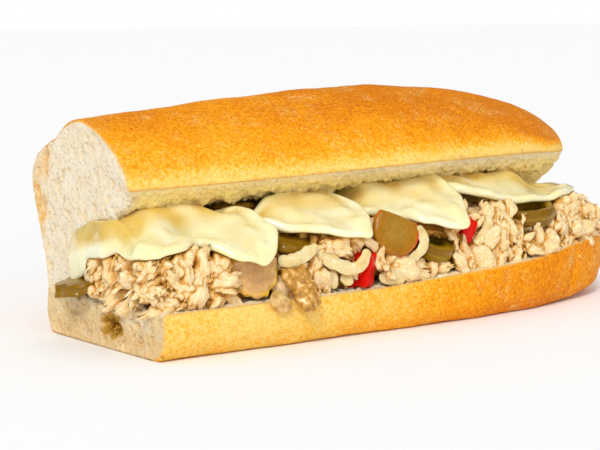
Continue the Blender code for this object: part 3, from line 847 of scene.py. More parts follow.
class Meat:
    """Many torn pieces of meat, gathered into one mesh."""

    def __init__(self, heap):
        self.heap = heap
        self.points, self.faces, self.fibre, self.deep = [], [], [], []
        self.balls = {}

    def ball(self, around, along):
        """The points and faces of a round cage with its poles on X, in the same order on every run."""
        if (around, along) not in self.balls:
            bm = bmesh.new()
            bmesh.ops.create_uvsphere(bm, u_segments=around, v_segments=along, radius=1.0)
            points = [Vector((v.co.z, v.co.x, v.co.y)) for v in bm.verts]
            faces = sorted([v.index for v in f.verts] for f in bm.faces)
            bm.free()
            self.balls[around, along] = points, faces
        return self.balls[around, along]

    def add(self, centre, turn, size, seed, cage, fibrous, rough=1.0):
        """A torn piece: strands or knobs with creases between them, and ragged ends."""
        length, width, thick = size
        points, faces = self.ball(*cage)
        first = len(self.points)
        rng = random.Random(seed)
        away = Vector([rng.uniform(-60.0, 60.0) for _ in range(3)])
        taper, bend = rng.uniform(-0.5, 0.5), rng.uniform(-0.5, 0.5)
        long_cell, wide_cell = 2.4 + 4.0 * fibrous, 2.2 - 1.1 * fibrous
        for a, b, c in points:
            ring = math.hypot(b, c)
            blunt = (1.0 - abs(a) ** 2.6) ** (1 / 2.6) * (1.0 + taper * a)
            side = (b / ring * blunt, c / ring * blunt) if ring > 1e-6 else (0.0, 0.0)
            torn = 1.0 + 0.5 * abs(a) * noise.noise(Vector((3.6 * side[0], 3.6 * side[1], a)) + away)
            local = Vector((a * torn * length / 2, side[0] * width / 2, side[1] * thick / 2))
            out = Vector((0.35 * a, b, c)).normalized()
            lump = 0.34 * width * noise.noise(local / (0.3 * length + 0.6) + away)
            cell = Vector((local.x / long_cell, local.y / wide_cell, local.z / wide_cell)) + away
            nearest, second = noise.voronoi(cell)[0][:2]
            crease = 1.0 - min(2.4 * (second - nearest), 1.0)
            fine = 0.3 * noise.noise(Vector((local.x / 1.3, local.y / 0.7, local.z / 0.7)) + away)
            fine += 0.16 * noise.noise(local / 0.55 + away)
            ridge = 0.28 * wide_cell * (0.3 - nearest * nearest) - 0.12 * wide_cell * crease
            local += out * (lump + rough * (ridge + fine))
            local.z += bend * width * (a * a - 0.3)
            point = centre + turn @ local
            self.points.append(point)
            self.fibre.append(local + away)
            # Painted shade: the side that faces into the heap, and the creases, get darker juice colour.
            inside = (centre - point).dot(turn.col[2]) / thick
            self.deep.append(min(max(inside + 0.45 * rough * crease * crease, 0.0), 1.0))
        self.faces.extend([first + k for k in face] for face in faces)

    def piece(self, name, look):
        mesh = bpy.data.meshes.new(name)
        mesh.from_pydata(self.heap.under_cheese(np.array(self.points)) * MM, [], self.faces)
        fibre = mesh.attributes.new("fibre", "FLOAT_VECTOR", "POINT")
        fibre.data.foreach_set("vector", np.array([p * MM for p in self.fibre], np.float32).ravel())
        deep = mesh.attributes.new("deep", "FLOAT", "POINT")
        deep.data.foreach_set("value", np.array(self.deep, np.float32))
        return add_mesh(name, mesh, look)


def shade_crevices(pieces, reach):
    """Paints shade, as darker juice colour, wherever the pieces close in round a point, within `reach`
    millimetres.
    """
    points, faces = [], []
    for piece in pieces:
        first = len(points)
        points.extend(v.co / MM for v in piece.data.vertices)
        faces.extend([first + k for k in f.vertices] for f in piece.data.polygons)
    tree = BVHTree.FromPolygons(points, faces)
    ball = bmesh.new()
    bmesh.ops.create_icosphere(ball, subdivisions=1, radius=1.0)
    bmesh.ops.subdivide_edges(ball, edges=ball.edges, cuts=1)
    rays = [v.co.normalized() for v in ball.verts]
    ball.free()
    for piece in pieces:
        layer = piece.data.attributes.get("deep")
        if not layer:
            continue
        for vert, value in zip(piece.data.vertices, layer.data):
            start = vert.co / MM + vert.normal * 0.1
            tried = [ray for ray in rays if ray.dot(vert.normal) > 0.25]
            hits = sum(tree.ray_cast(start, ray, reach)[0] is not None for ray in tried)
            closed = hits / max(len(tried), 1)
            # Painted shade: the more of the rays are closed off, the darker the juice colour.
            value.value = min(max(0.6 * value.value + 1.6 * closed - 0.18, 0.0), 1.0)


def make_core(heap, settings, look):
    """The hidden bulk of the heap, a little smaller than its outline, with the same relief, painted darker
    as shade since it shows only in the gaps between the chunks.
    """
    bm = packed_copy("chicken")
    body = with_modifiers(bm, ("REMESH", {"mode": "VOXEL", "voxel_size": 0.9, "adaptivity": 0.0}))
    points = coordinates(body)
    outward = normals(body)
    relief = 0.8 * waves(points, 2.6, 31.0) + 0.4 * waves(points, 1.2, 32.0)
    place_all(body, heap.under_cheese(points + outward * (relief - settings.core_inset / MM)[:, None]))
    fibre = body.verts.layers.float_vector.new("fibre")
    for vert in body.verts:
        vert[fibre] = vert.co * MM
    # Painted shade: the core starts half way to the juice colours, darker still in its hollows.
    store(body, deep=np.clip(0.45 - 0.4 * relief, 0.0, 1.0))
    return add_piece("chicken_core", body, look, ["chicken"])


# Chunks that stand out at the mouth:
# (x, z, length, width, thickness, turn in degrees, how far out, how fibrous).
LEADING_CHUNKS = [
    (-70.0, 20.0, 7.5, 5.2, 4.0, 54, 0.8, 0.3),
    (-72.4, 13.8, 7.5, 4.4, 3.4, -30, 1.2, 0.3),
    (-69.0, 16.7, 8.0, 4.4, 3.4, -38, 1.3, 0.4),
    (-63.2, 19.6, 7.5, 5.6, 4.2, 66, 0.9, 0.6),
    (-64.0, 15.6, 11.0, 5.6, 4.2, 74, 1.3, 0.5),
    (-66.5, 12.8, 6.5, 3.6, 3.0, 25, 1.5, 0.3),
    (-59.6, 13.0, 5.5, 3.6, 3.0, 16, 1.6, 0.2),
    (-59.5, 19.6, 5.5, 3.8, 3.2, 54, 0.6, 0.2),
    (-57.0, 16.0, 9.0, 6.6, 3.6, -8, 2.6, 0.4),
    (-38.0, 18.4, 9.0, 4.2, 3.2, 8, 0.9, 0.3),
    (-32.0, 20.9, 6.8, 3.6, 3.0, 16, 0.6, 0.3),
    (-34.0, 13.4, 6.0, 3.6, 3.0, 70, 0.6, 0.3),
    (-30.0, 15.0, 8.5, 6.0, 3.6, 86, 1.2, 1.0),
    (-23.7, 21.4, 9.8, 5.2, 3.4, -25, 0.5, 0.3),
    (-17.0, 15.0, 6.0, 3.6, 3.0, 80, 0.6, 0.3),
    (-9.4, 16.6, 6.4, 5.4, 3.6, 50, 0.7, 0.3),
    (-3.5, 14.8, 14.0, 5.8, 4.0, -12, 1.3, 0.15),
    (7.0, 15.0, 5.5, 3.4, 3.0, 0, 0.8, 0.3),
    (13.7, 14.4, 8.5, 3.3, 3.0, -66, 1.6, 0.4),
    (21.5, 15.2, 12.5, 7.4, 3.6, 10, 0.9, 1.0),
    (26.6, 14.0, 8.5, 3.0, 2.8, 54, 1.8, 0.4),
    (24.1, 20.3, 8.8, 4.2, 3.4, 25, 0.8, 0.5),
    (24.4, 25.4, 7.0, 4.0, 3.0, 54, 0.6, 0.3),
    (28.3, 25.2, 8.0, 4.0, 3.0, 54, 0.6, 0.4),
    (32.2, 25.0, 7.6, 3.0, 2.6, 66, 0.6, 0.5),
    (36.7, 17.2, 11.0, 3.8, 3.2, -29, 1.2, 0.5),
    (33.0, 14.6, 6.5, 3.4, 3.0, 20, 1.0, 0.2),
    (45.2, 17.0, 7.0, 6.0, 4.0, 25, 1.0, 0.2),
    (53.8, 16.4, 6.5, 3.8, 3.2, 8, 1.0, 0.2),
    (60.2, 19.5, 13.0, 5.8, 4.6, 8, 1.2, 0.9),
    (54.3, 24.0, 5.5, 3.8, 3.0, 0, 0.6, 0.3),
    (62.0, 23.0, 6.0, 3.8, 3.2, 60, 0.0, 0.3),
]

# The same at the cut end, with y in place of x.
END_CHUNKS = [
    (1.1, 18.0, 6.5, 4.8, 3.4, -46, 0.4, 0.3),
    (-5.0, 18.8, 6.5, 4.4, 3.4, 46, 0.5, 0.3),
    (-11.0, 18.6, 9.0, 5.2, 3.6, 27, 0.9, 0.3),
    (-5.5, 14.8, 8.0, 3.4, 3.0, -12, 0.5, 0.2),
    (-20.0, 18.6, 9.2, 3.4, 3.2, 12, 1.2, 0.2),
    (-21.4, 15.2, 8.0, 4.6, 3.4, -46, 1.2, 0.3),
    (-15.4, 14.2, 6.3, 3.6, 3.0, 46, 0.9, 0.3),
    (-12.7, 22.2, 8.8, 2.8, 2.8, 0, 0.3, 0.3),
    (0.2, 14.4, 5.0, 3.6, 3.0, 60, 0.3, 0.3),
    (-14.6, 12.4, 5.0, 3.2, 2.6, 15, -0.5, 0.3),
]

# Where no other chunk may lie, so that the rings stay in sight: (x, z, radius).
CLEARINGS = [(7.0, 20.8, 4.2), (35.5, 22.5, 3.5)]


def make_leading_chunks(heap, look):
    """The larger chunks, each in its own place, along the mouth and at the cut end."""
    meat = Meat(heap)
    front = Vector((0.0, -1.0, 0.0)), Vector((0.0, -0.9, 0.25))
    end = Vector((-1.0, 0.0, 0.0)), Vector((-0.9, -0.25, 0.2))
    chunks = [("front", *front, c) for c in LEADING_CHUNKS] + [("cut end", *end, c) for c in END_CHUNKS]
    for i, (side, outward, facing, chunk) in enumerate(chunks):
        across, z, length, width, thick, degrees, out, fibrous = chunk
        point = heap.seen_from(side, across, max(z, heap.low.z + 0.6))[0]
        if point is None:
            continue
        depth = min(out, heap.room(point, outward) - CLEARANCE) - thick * 0.35
        turn = frame_of(facing, math.radians(degrees))
        meat.add(point + outward * depth, turn, (length, width, thick), i, LEADING_CAGE, fibrous)
    return meat.piece("chicken_front_chunks", look)


def make_chunks(heap, settings, look):
    """Chunks scattered in rows over the front and the two ends of the heap."""
    rng = random.Random(settings.seed)
    meat = Meat(heap)
    step = settings.chunk_spacing / MM
    x = heap.low.x + 2.0
    while x < heap.high.x - 2.0:
        for row in range(4):
            spot = x + rng.uniform(-0.45, 0.45) * step
            z = heap.low.z + 1.2 + (row + rng.uniform(-0.3, 0.3)) * step
            length, width = rng.uniform(6.0, 11.5), rng.uniform(3.4, 5.8)
            degrees, seed, fibrous = rng.gauss(60.0, 40.0), rng.random(), rng.uniform(0.1, 0.8)
            size = (length, width, width * 0.85)
            place_chunk(meat, heap, heap.seen_from("front", spot, z), size, degrees, seed, fibrous)
        x += step
    for side in ("cut end", "right end"):
        for row, column in np.ndindex(4, 8):
            y = -22.0 + (column + rng.uniform(-0.3, 0.3)) * step
            z = heap.low.z + 1.2 + (row + rng.uniform(-0.3, 0.3)) * step
            length, width = rng.uniform(5.0, 8.5), rng.uniform(2.8, 4.6)
            degrees, seed = rng.gauss(40.0, 40.0), rng.random()
            size = (length, width, width * 0.8)
            place_chunk(meat, heap, heap.seen_from(side, y, z), size, degrees, seed, 0.3)
    return meat.piece("chicken_chunks", look)


def place_chunk(meat, heap, spot, size, degrees, seed, fibrous):
    """Lays a chunk on the heap where there is room for it between the vegetables and the cheese."""
    point, outward = spot
    if point is None:
        return
    space = heap.clear_of_vegetables(point)
    hidden = any(math.hypot(point.x - x, point.z - z) < reach for x, z, reach in CLEARINGS)
    if space < 1.0 or hidden:
        return
    share = min(1.0, space / (0.62 * size[1]))
    if share < 0.5:
        return
    size = tuple(s * share for s in size)
    depth = min(0.8, heap.room(point, outward) - CLEARANCE) - size[2] * 0.42
    depth -= float(smoothstep(56.0, 68.0, point.x))
    turn = frame_of(outward + Vector((0.0, -0.6, 0.2)), math.radians(degrees))
    meat.add(point + outward * depth, turn, size, seed, CHUNK_CAGE, fibrous)


def make_shreds(heap, settings, look):
    """Thin torn fibres over the chunks, some of which hang over the lower crust."""
    rng = random.Random(settings.seed + 1)
    meat = Meat(heap)
    made = 0
    for _ in range(6 * settings.shreds):
        if made == settings.shreds:
            break
        x = rng.uniform(heap.low.x + 1.0, heap.high.x - 1.0)
        z = rng.uniform(heap.low.z + 0.3, heap.high.z - 2.0)
        length, width = rng.uniform(3.5, 8.0), rng.uniform(1.1, 2.2)
        degrees, seed = rng.gauss(75.0, 50.0), rng.random()
        tilt = Vector([rng.uniform(-0.3, 0.3) for _ in range(3)])
        point, outward = heap.seen_from("front", x, z)
        if point is None or heap.clear_of_vegetables(point) < 1.3:
            continue
        depth = min(0.9, heap.room(point, outward) - 2 * CLEARANCE) - width * 0.3
        turn = frame_of(outward + Vector((0.0, -0.4, 0.0)) + tilt, math.radians(degrees))
        size = (length, width, width * 0.7)
        meat.add(point + outward * depth, turn, size, seed, SHRED_CAGE, 0.6, 0.4)
        made += 1
    return meat.piece("chicken_shreds", look)


def make_crumbs(heap, settings, look):
    """Small loose bits of meat, most of them low down along the mouth."""
    rng = random.Random(settings.seed + 2)
    meat = Meat(heap)
    for _ in range(settings.crumbs):
        x = rng.uniform(heap.low.x + 1.0, heap.high.x - 3.0)
        z = heap.low.z + abs(rng.gauss(0.0, 3.0)) + 0.3
        width, degrees, seed = rng.uniform(0.7, 1.6), rng.uniform(0.0, 180.0), rng.random()
        point, outward = heap.seen_from("front", x, z)
        if point is None or heap.clear_of_vegetables(point) < 0.8:
            continue
        centre = point + outward * min(1.0, heap.room(point, outward) - 0.6)
        if heap.clear_of_vegetables(centre) < 1.0:
            continue
        turn = frame_of(outward, math.radians(degrees))
        meat.add(centre, turn, (width * 1.5, width, width), seed, CRUMB_CAGE, 0.0, 0.3)
    return meat.piece("chicken_crumbs", look)


# ---------------------------------------------------------------- the vegetables


DISCS = {
    "pickle_end": "pickle",
    "pickle_back": "pickle",
    "pickle_under": "pickle",
    "pepper_ring_front": "pepper",
    "pepper_ring_right": "pepper",
    "brined_slice_left": "amber",
    "brined_slice_right": "brined",
}
# For each kind of slice: its material, its slot, where its skin starts, as a share of its radius, and how
# clear it is.
SLICE_KINDS = {
    "pickle": ("pickle", "pickle", 0.9, 0.3),
    "pepper": ("green_pepper", "pickle", 0.9, 0.3),
    "amber": ("amber_slice", "brined_vegetable", 0.82, 0.6),
    "brined": ("brined_slice", "brined_vegetable", 0.91, 0.4),
}
# How far the onion beside the right brined slice moves to lie against its rim.
ARC_SHIFT = np.array([-1.2, -0.3, 0.0])
ONIONS = [
    "onion_strand_left", "onion_loop", "onion_tail", "onion_bulb", "onion_petal", "onion_arc",
    "onion_arc_right", "onion_scrap",
]


def own_frame(points):
    """Centre and axes of a piece, the last of them across its thinnest way."""
    centre = points.mean(axis=0)
    _, _, axes = np.linalg.svd(points - centre, full_matrices=False)
    return centre, axes


def soft_copy(node, levels, amount, size, seed, crisp=0.0, widen=0.0):
    """The node's own shape, rounded, with dents `amount` deep and about `size` wide. `crisp` keeps its
    edges from 0, soft, to 1, sharp, and `widen` makes an uneven ribbon of it, in millimetres."""
    bm = packed_copy(node)
    crease_sharp_edges(bm, degrees=50, amount=crisp)
    body = rounded(bm, levels)
    points = coordinates(body)
    outward = normals(body)
    centre, axes = own_frame(points)
    local = (points - centre) @ axes.T
    radial = np.hypot(local[:, 0], local[:, 1])
    radial /= radial.max()
    bend = axes[2] * (amount * 1.6 * waves(points, 3.0 * size, seed))[:, None]
    relief = amount * waves(points, size, seed + 1.0) * (0.7 + radial**3)
    uneven = widen * (1.0 + 1.3 * waves(points, 2.8, seed + 2.0))
    ribbon = uneven[:, None] * (outward - 1.2 * (outward @ axes[2])[:, None] * axes[2])
    place_all(body, points + outward * relief[:, None] + bend + ribbon)
    store(body, radial=radial, height=local[:, 2])
    return body


def tuck_under(body):
    """Brings the top of the right brined slice down to the slanting edge of the cheese over it."""
    points = coordinates(body)
    x, y, z = points.T
    line = 29.6 - 0.42 * np.maximum(x + 11.5, 0.0)
    over = np.maximum(z - line, 0.0)
    place_all(body, np.stack([x, y + 0.3 * over, z - 0.8 * over], axis=1))


def disc_look(name, flesh, middle, skin, skin_from, clear):
    """A brined slice: wet flesh that clears towards its middle, layered through its thickness, and a
    darker skin round its edge."""
    look = moist_look(name, clear, (1.0, 0.6, 0.15), 0.002, 0.15, 0.25, 0.1)
    radial = look.attribute("radial") + 0.1 * (look.noise(1.8, 2.0) - 0.5)
    colour = look.mix(radial.step(0.2, 0.8), middle, flesh)
    layers = look.noise(0.8, 2.0, distortion=0.3)
    height = look.attribute("height") + 0.3 * (layers - 0.5)
    band = (1.0 - abs(height - 0.15).step(0.1, 0.5)) * radial.step(0.82, 0.9)
    patches = look.noise(6.0, 1.0).step(0.4, 0.5)
    colour = look.mix(radial.step(skin_from - 0.04, skin_from + 0.02) * patches, colour, skin)
    colour = look.mix(band * 0.5, colour, middle)
    speck = look.pores(1.5).step(0.2, 0.05) * 0.5
    colour = look.mix(speck, colour, middle)
    colour = look.shade(colour, 0.5 + 0.52 * layers + 0.5 * look.noise(4.0, 2.0))
    relief = look.noise(1.4, 2.0) + 0.4 * layers
    return look.finish(colour, 0.16 + 0.22 * look.noise(1.6, 2.0), relief, 0.2, 0.7)


def onion_look(name, flesh, edge):
    """Soft cooked onion, clear and wet, with fine lines along it."""
    look = moist_look(name, 0.6, (1.0, 0.75, 0.4), 0.002, 0.35, 0.5, 0.08)
    lines = look.noise(0.6, 2.0, distortion=0.6)
    outer = look.attribute("radial").step(0.35, 0.95)
    colour = look.mix(look.noise(2.8, 2.0).step(0.4, 0.7), flesh, edge)
    colour = look.mix(outer * 0.35, colour, edge)
    return look.finish(look.shade(colour, 0.86 + 0.28 * lines), 0.18 + 0.2 * lines, lines, 0.12, 0.6)


def red_look(settings):
    """Cooked red pepper, blotched and wet."""
    look = moist_look("red_pepper", 0.15, (1.0, 0.2, 0.1), 0.001, 0.08, 0.2, 0.08)
    blotch = look.noise(2.0, 2.0)
    colour = look.mix(blotch.step(0.4, 0.75), settings.red, settings.bright_red)
    return look.finish(colour, 0.2 + 0.2 * blotch, look.noise(0.8, 2.0), 0.1, 0.6)


def add_grains(body):
    """Raises the grains of browned meat on a soft copy."""
    points = coordinates(body)
    grains = np.array([noise.voronoi(Vector(p) / 1.5)[0][0] for p in points])
    place_all(body, points + normals(body) * (0.35 - grains**2)[:, None])


def browned_look(settings):
    """Browned meat, seared in places and pale in others."""
    look = moist_look("browned_chicken", 0.15, (1.0, 0.5, 0.3), 0.001, 0.3, 0.4, 0.1)
    blotch = look.noise(1.5, 4.0)
    colour = look.ramp(blotch, [
        (0.34, settings.seared),
        (0.48, settings.browned),
        (0.6, settings.juice),
        (0.72, settings.pale_chicken),
    ])
    return look.finish(colour, 0.25 + 0.3 * blotch, look.noise(0.7, 3.0), 0.3, 0.8)


# ---------------------------------------------------------------- the stage


def make_stage(settings):
    """A white floor under soft light, and the camera low at the mouth's left."""
    bm = bmesh.new()
    bmesh.ops.create_grid(bm, x_segments=1, y_segments=1, size=4.0)
    mesh = bpy.data.meshes.new("floor")
    bm.to_mesh(mesh)
    bm.free()
    floor = bpy.data.objects.new("floor", mesh)
    matt = {"Base Color": (*settings.floor, 1.0), "Specular IOR Level": 0.1, "Roughness": 0.9}
    mesh.materials.append(Look("floor", matt).material)
    bpy.context.scene.collection.objects.link(floor)
    make_world(settings)
    for name, (towards, softness, strength) in {
        "key": ((-0.62, -0.55, 0.70), 15.0, settings.key),
        "front": ((-0.35, -0.92, 0.08), 50.0, settings.front),
        "glint": ((-0.50, -0.40, 0.77), 7.0, settings.glint),
        "glint_front": ((0.20, -0.80, 0.55), 14.0, settings.glint),
    }.items():
        lamp = bpy.data.lights.new(name, "SUN")
        lamp.angle = math.radians(softness)
        lamp.energy = strength
        light = bpy.data.objects.new(name, lamp)
        light.rotation_euler = Vector(towards).to_track_quat("Z", "Y").to_euler()
        light.visible_diffuse = not name.startswith("glint")
        light.visible_glossy = name != "front"
        bpy.context.scene.collection.objects.link(light)
    make_camera(settings)
    bpy.context.scene.view_settings.view_transform = "Standard"


def make_world(settings):
    """White all round: full white behind the object, weaker as the light that falls on it, and weaker
    still in reflections, as in a studio with dark walls."""
    world = bpy.data.worlds.new("studio")
    world.use_nodes = True
    nodes, links = world.node_tree.nodes, world.node_tree.links
    background = nodes["Background"]
    background.inputs["Color"].default_value = (1.0, 1.0, 1.0, 1.0)
    path = nodes.new("ShaderNodeLightPath")
    reflected = nodes.new("ShaderNodeMapRange")
    reflected.inputs["To Min"].default_value = settings.fill
    reflected.inputs["To Max"].default_value = settings.reflected
    links.new(path.outputs["Is Glossy Ray"], reflected.inputs["Value"])
    strength = nodes.new("ShaderNodeMapRange")
    strength.inputs["To Max"].default_value = 1.0
    links.new(reflected.outputs["Result"], strength.inputs["To Min"])
    links.new(path.outputs["Is Camera Ray"], strength.inputs["Value"])
    links.new(strength.outputs["Result"], background.inputs["Strength"])
    bpy.context.scene.world = world


def make_camera(settings):
    """A long lens, turned and raised round its target."""
    back = Vector((
        math.sin(settings.azimuth) * math.cos(settings.elevation),
        -math.cos(settings.azimuth) * math.cos(settings.elevation),
        math.sin(settings.elevation),
    ))
    lens = bpy.data.cameras.new("camera")
    lens.lens = 110.0
    lens.sensor_width = 36.0
    camera = bpy.data.objects.new("camera", lens)
    camera.location = Vector(settings.target) + back * settings.distance
    camera.rotation_euler = back.to_track_quat("Z", "Y").to_euler()
    bpy.context.scene.collection.objects.link(camera)
    bpy.context.scene.camera = camera


# ---------------------------------------------------------------- the add-on


def colour_setting(name, description, value):
    return FloatVectorProperty(
        name=name, description=description, subtype="COLOR", size=3, min=0.0, max=1.0, default=value
    )


def number_setting(name, description, value):
    return FloatProperty(name=name, description=description, default=value, min=0.0)


def length_setting(name, description, millimetres):
    return FloatProperty(
        name=name, description=description, subtype="DISTANCE", unit="LENGTH", min=0.0,
        default=millimetres * MM,
    )


def angle_setting(name, description, degrees):
    return FloatProperty(name=name, description=description, subtype="ANGLE", default=math.radians(degrees))


def count_setting(name, description, count):
    return IntProperty(name=name, description=description, default=count, min=0)


class SandwichBreadSettings(bpy.types.PropertyGroup):
    """Sizes and colours of the roll"""

    mesh_size: length_setting("Mesh size", "Width of a face of the plain crust", 1.25)
    pore_size: length_setting("Pore size", "Usual width of a pore of the crumb", 2.1)
    pore_depth: number_setting("Pore depth", "How deep the pores go, as a share of their size", 0.75)
    bake: number_setting("Bake", "How brown the crust is", 1.0)
    pale_crust: colour_setting("Pale crust", "Crust where it was pressed", (0.96, 0.66, 0.18))
    straw_crust: colour_setting("Straw crust", "Crust near the cuts", (0.95, 0.50, 0.05))
    golden_crust: colour_setting("Golden crust", "Most of the crust", (0.92, 0.36, 0.006))
    brown_crust: colour_setting("Brown crust", "Crust on the crown", (0.86, 0.28, 0.002))
    dark_crust: colour_setting("Dark crust", "Darkest patches", (0.70, 0.19, 0.001))
    fleck: colour_setting("Fleck", "Pale flecks on the crust", (0.98, 0.68, 0.20))
    rim: colour_setting("Rim", "Crust where it is cut through", (0.80, 0.46, 0.12))
    crumb: colour_setting("Crumb", "White crumb", (0.82, 0.73, 0.56))
    warm_crumb: colour_setting("Warm crumb", "Crumb where it is denser", (0.80, 0.67, 0.46))
    # The pore colour is painted shade inside the pores.
    pore: colour_setting("Pore", "Walls of the pores", (0.70, 0.51, 0.27))
    # The soaked colour is also painted light, brightening the shaded crumb at the mouth.
    soaked_crumb: colour_setting("Soaked crumb", "Crumb that has taken up juice", (1.0, 0.78, 0.28))
    stain: colour_setting("Stain", "Juice stain", (0.50, 0.27, 0.04))
    dark_stain: colour_setting("Dark stain", "Middle of the stain", (0.16, 0.06, 0.002))


class SandwichCheeseSettings(bpy.types.PropertyGroup):
    """Sizes and colours of the cheese"""

    wave: length_setting("Wave", "How far the slices wave", 1.0)
    bead: length_setting("Bead", "How far the hanging edge swells", 0.65)
    cheese: colour_setting("Cheese", "Usual colour", (0.96, 0.82, 0.42))
    pale_cheese: colour_setting("Pale cheese", "Paler clouds", (0.98, 0.89, 0.58))
    # The thin colour is also painted shade in the valleys and under the roof.
    thin_cheese: colour_setting("Thin cheese", "Where the slice has run thin", (0.74, 0.50, 0.10))


class SandwichChickenSettings(bpy.types.PropertyGroup):
    """Sizes, numbers and colours of the chicken"""

    core_inset: length_setting("Core inset", "How much smaller the core is than the heap", 2.0)
    chunk_spacing: length_setting("Chunk spacing", "Distance between the chunks", 4.5)
    shreds: count_setting("Shreds", "How many thin shreds", 60)
    crumbs: count_setting("Crumbs", "How many loose bits", 60)
    seed: count_setting("Seed", "Changes the lie of every scattered piece", 7)
    chicken: colour_setting("Chicken", "Usual colour", (0.96, 0.66, 0.30))
    pink_chicken: colour_setting("Pink chicken", "Where it is less cooked", (0.97, 0.68, 0.38))
    pale_chicken: colour_setting("Pale chicken", "Bright fibres", (1.0, 0.86, 0.58))
    # These two juice colours are also the painted shade in the gaps and creases of the meat.
    juice: colour_setting("Juice", "Juice between the pieces", (0.78, 0.42, 0.10))
    deep_juice: colour_setting("Deep juice", "Juice in the deepest gaps", (0.46, 0.20, 0.02))
    browned: colour_setting("Browned", "Browned meat", (0.52, 0.26, 0.03))
    seared: colour_setting("Seared", "Darkest browned meat", (0.36, 0.16, 0.02))


class SandwichVegetableSettings(bpy.types.PropertyGroup):
    """Colours of the vegetables"""

    dent: length_setting("Dent", "How uneven the slices are", 0.25)
    pickle: colour_setting("Pickle", "Flesh of the pickles", (0.25, 0.125, 0.001))
    pickle_middle: colour_setting("Pickle middle", "Clear middle of the pickles", (0.34, 0.18, 0.01))
    pickle_skin: colour_setting("Pickle skin", "Skin of the pickles", (0.20, 0.10, 0.001))
    pepper: colour_setting("Pepper", "Flesh of the green rings", (0.27, 0.15, 0.001))
    pepper_middle: colour_setting("Pepper middle", "Cut face of the green rings", (0.36, 0.23, 0.008))
    pepper_skin: colour_setting("Pepper skin", "Skin of the green rings", (0.21, 0.10, 0.0))
    brined: colour_setting("Brined slice", "Flesh of the right brined slice", (0.37, 0.15, 0.004))
    brined_middle: colour_setting("Brined middle", "Its clear middle", (0.38, 0.20, 0.02))
    brined_skin: colour_setting("Brined skin", "Its skin", (0.75, 0.01, 0.001))
    amber: colour_setting("Amber slice", "Flesh of the left brined slice", (0.72, 0.44, 0.17))
    amber_middle: colour_setting("Amber middle", "Its clear middle", (0.60, 0.34, 0.13))
    amber_skin: colour_setting("Amber skin", "Its skin", (0.88, 0.54, 0.06))
    onion: colour_setting("Onion", "Usual colour", (0.86, 0.68, 0.36))
    amber_onion: colour_setting("Amber onion", "Where it has taken up juice", (0.80, 0.56, 0.22))
    red: colour_setting("Red pepper", "Usual colour", (0.62, 0.003, 0.0))
    bright_red: colour_setting("Bright red pepper", "Brighter patches", (0.78, 0.012, 0.0))


class SandwichStageSettings(bpy.types.PropertyGroup):
    """Floor, light and camera"""

    floor: colour_setting("Floor", "Colour of the floor", (0.97, 0.97, 0.97))
    fill: number_setting("Fill", "Strength of the light from all round", 0.70)
    key: number_setting("Key", "Strength of the main light", 1.45)
    front: number_setting("Front", "Strength of the low light from the front", 0.65)
    glint: number_setting("Glint", "Strength of the lamps seen in wet surfaces", 0.5)
    reflected: number_setting("Reflected", "Strength of the walls in reflections", 0.25)
    azimuth: angle_setting("Azimuth", "Camera's turn round the roll", -37.047)
    elevation: angle_setting("Elevation", "Camera's height angle", 7.009)
    distance: length_setting("Distance", "From the camera to its target", 470.0)
    target: FloatVectorProperty(
        name="Target", description="Where the camera looks", subtype="TRANSLATION", unit="LENGTH",
        default=(-0.0057, 0.0163, 0.0213),
    )


class SANDWICH_OT_bread(bpy.types.Operator):
    """Makes the roll, crust and crumb"""

    bl_idname = "sandwich.bread"
    bl_label = "Bread"

    def execute(self, context):
        make_bread(context.scene.sandwich_bread)
        return {"FINISHED"}


class SANDWICH_OT_cheese(bpy.types.Operator):
    """Makes the four melted slices"""

    bl_idname = "sandwich.cheese"
    bl_label = "Cheese"

    def execute(self, context):
        settings = context.scene.sandwich_cheese
        look, room = cheese_look(settings), headroom()
        for node in CHEESE_NODES:
            make_cheese_slice(node, settings, look, room)
        return {"FINISHED"}


class SANDWICH_OT_chicken(bpy.types.Operator):
    """Makes the heap of chicken: its core, chunks, shreds and crumbs"""

    bl_idname = "sandwich.chicken"
    bl_label = "Chicken"

    def execute(self, context):
        settings = context.scene.sandwich_chicken
        heap = Heap()
        look = chicken_look("chicken", settings, wet=0.15)
        pieces = [
            # The core's wetter look is painted shade in the gaps where it shows.
            make_core(heap, settings, chicken_look("chicken_core", settings, wet=0.6)),
            make_leading_chunks(heap, look),
            make_chunks(heap, settings, look),
            make_shreds(heap, settings, look),
            make_crumbs(heap, settings, look),
        ]
        slices = [bpy.data.objects[node + "_melted"] for node in CHEESE_NODES]
        shade_crevices([*pieces, *slices], reach=3.0)
        return {"FINISHED"}


class SANDWICH_OT_browned_chunk(bpy.types.Operator):
    """Makes the browned piece that hangs over the crust"""

    bl_idname = "sandwich.browned_chunk"
    bl_label = "Browned chunk"

    def execute(self, context):
        look = browned_look(context.scene.sandwich_chicken)
        body = soft_copy("browned_chunk", levels=4, amount=0.9, size=2.6, seed=61.0, widen=0.9)
        add_grains(body)
        add_piece("browned_meat", body, look, ["browned_chunk"])
        return {"FINISHED"}


class SANDWICH_OT_slices(bpy.types.Operator):
    """Makes the pickles, the green rings and the brined slices"""

    bl_idname = "sandwich.slices"
    bl_label = "Pickles and brined slices"

    def execute(self, context):
        settings = context.scene.sandwich_vegetables
        dent = settings.dent / MM
        looks = {}
        for kind, (name, slot, skin_from, clear) in SLICE_KINDS.items():
            flesh, middle, skin = (getattr(settings, kind + part) for part in ("", "_middle", "_skin"))
            looks[kind] = disc_look(name, flesh, middle, skin, skin_from, clear), slot
        for number, (node, kind) in enumerate(DISCS.items()):
            look, slot = looks[kind]
            frill = 2.0 if kind == "amber" else 1.0
            crisp, widen = (0.1, 1.1) if node == "pickle_end" else (0.35, 0.0)
            seed = 40.0 + 3 * number
            body = soft_copy(node, 3, frill * dent, 2.6 / frill, seed, crisp, widen)
            if node == "brined_slice_right":
                tuck_under(body)
            add_piece(node + "_wet", body, look, [node])
        return {"FINISHED"}


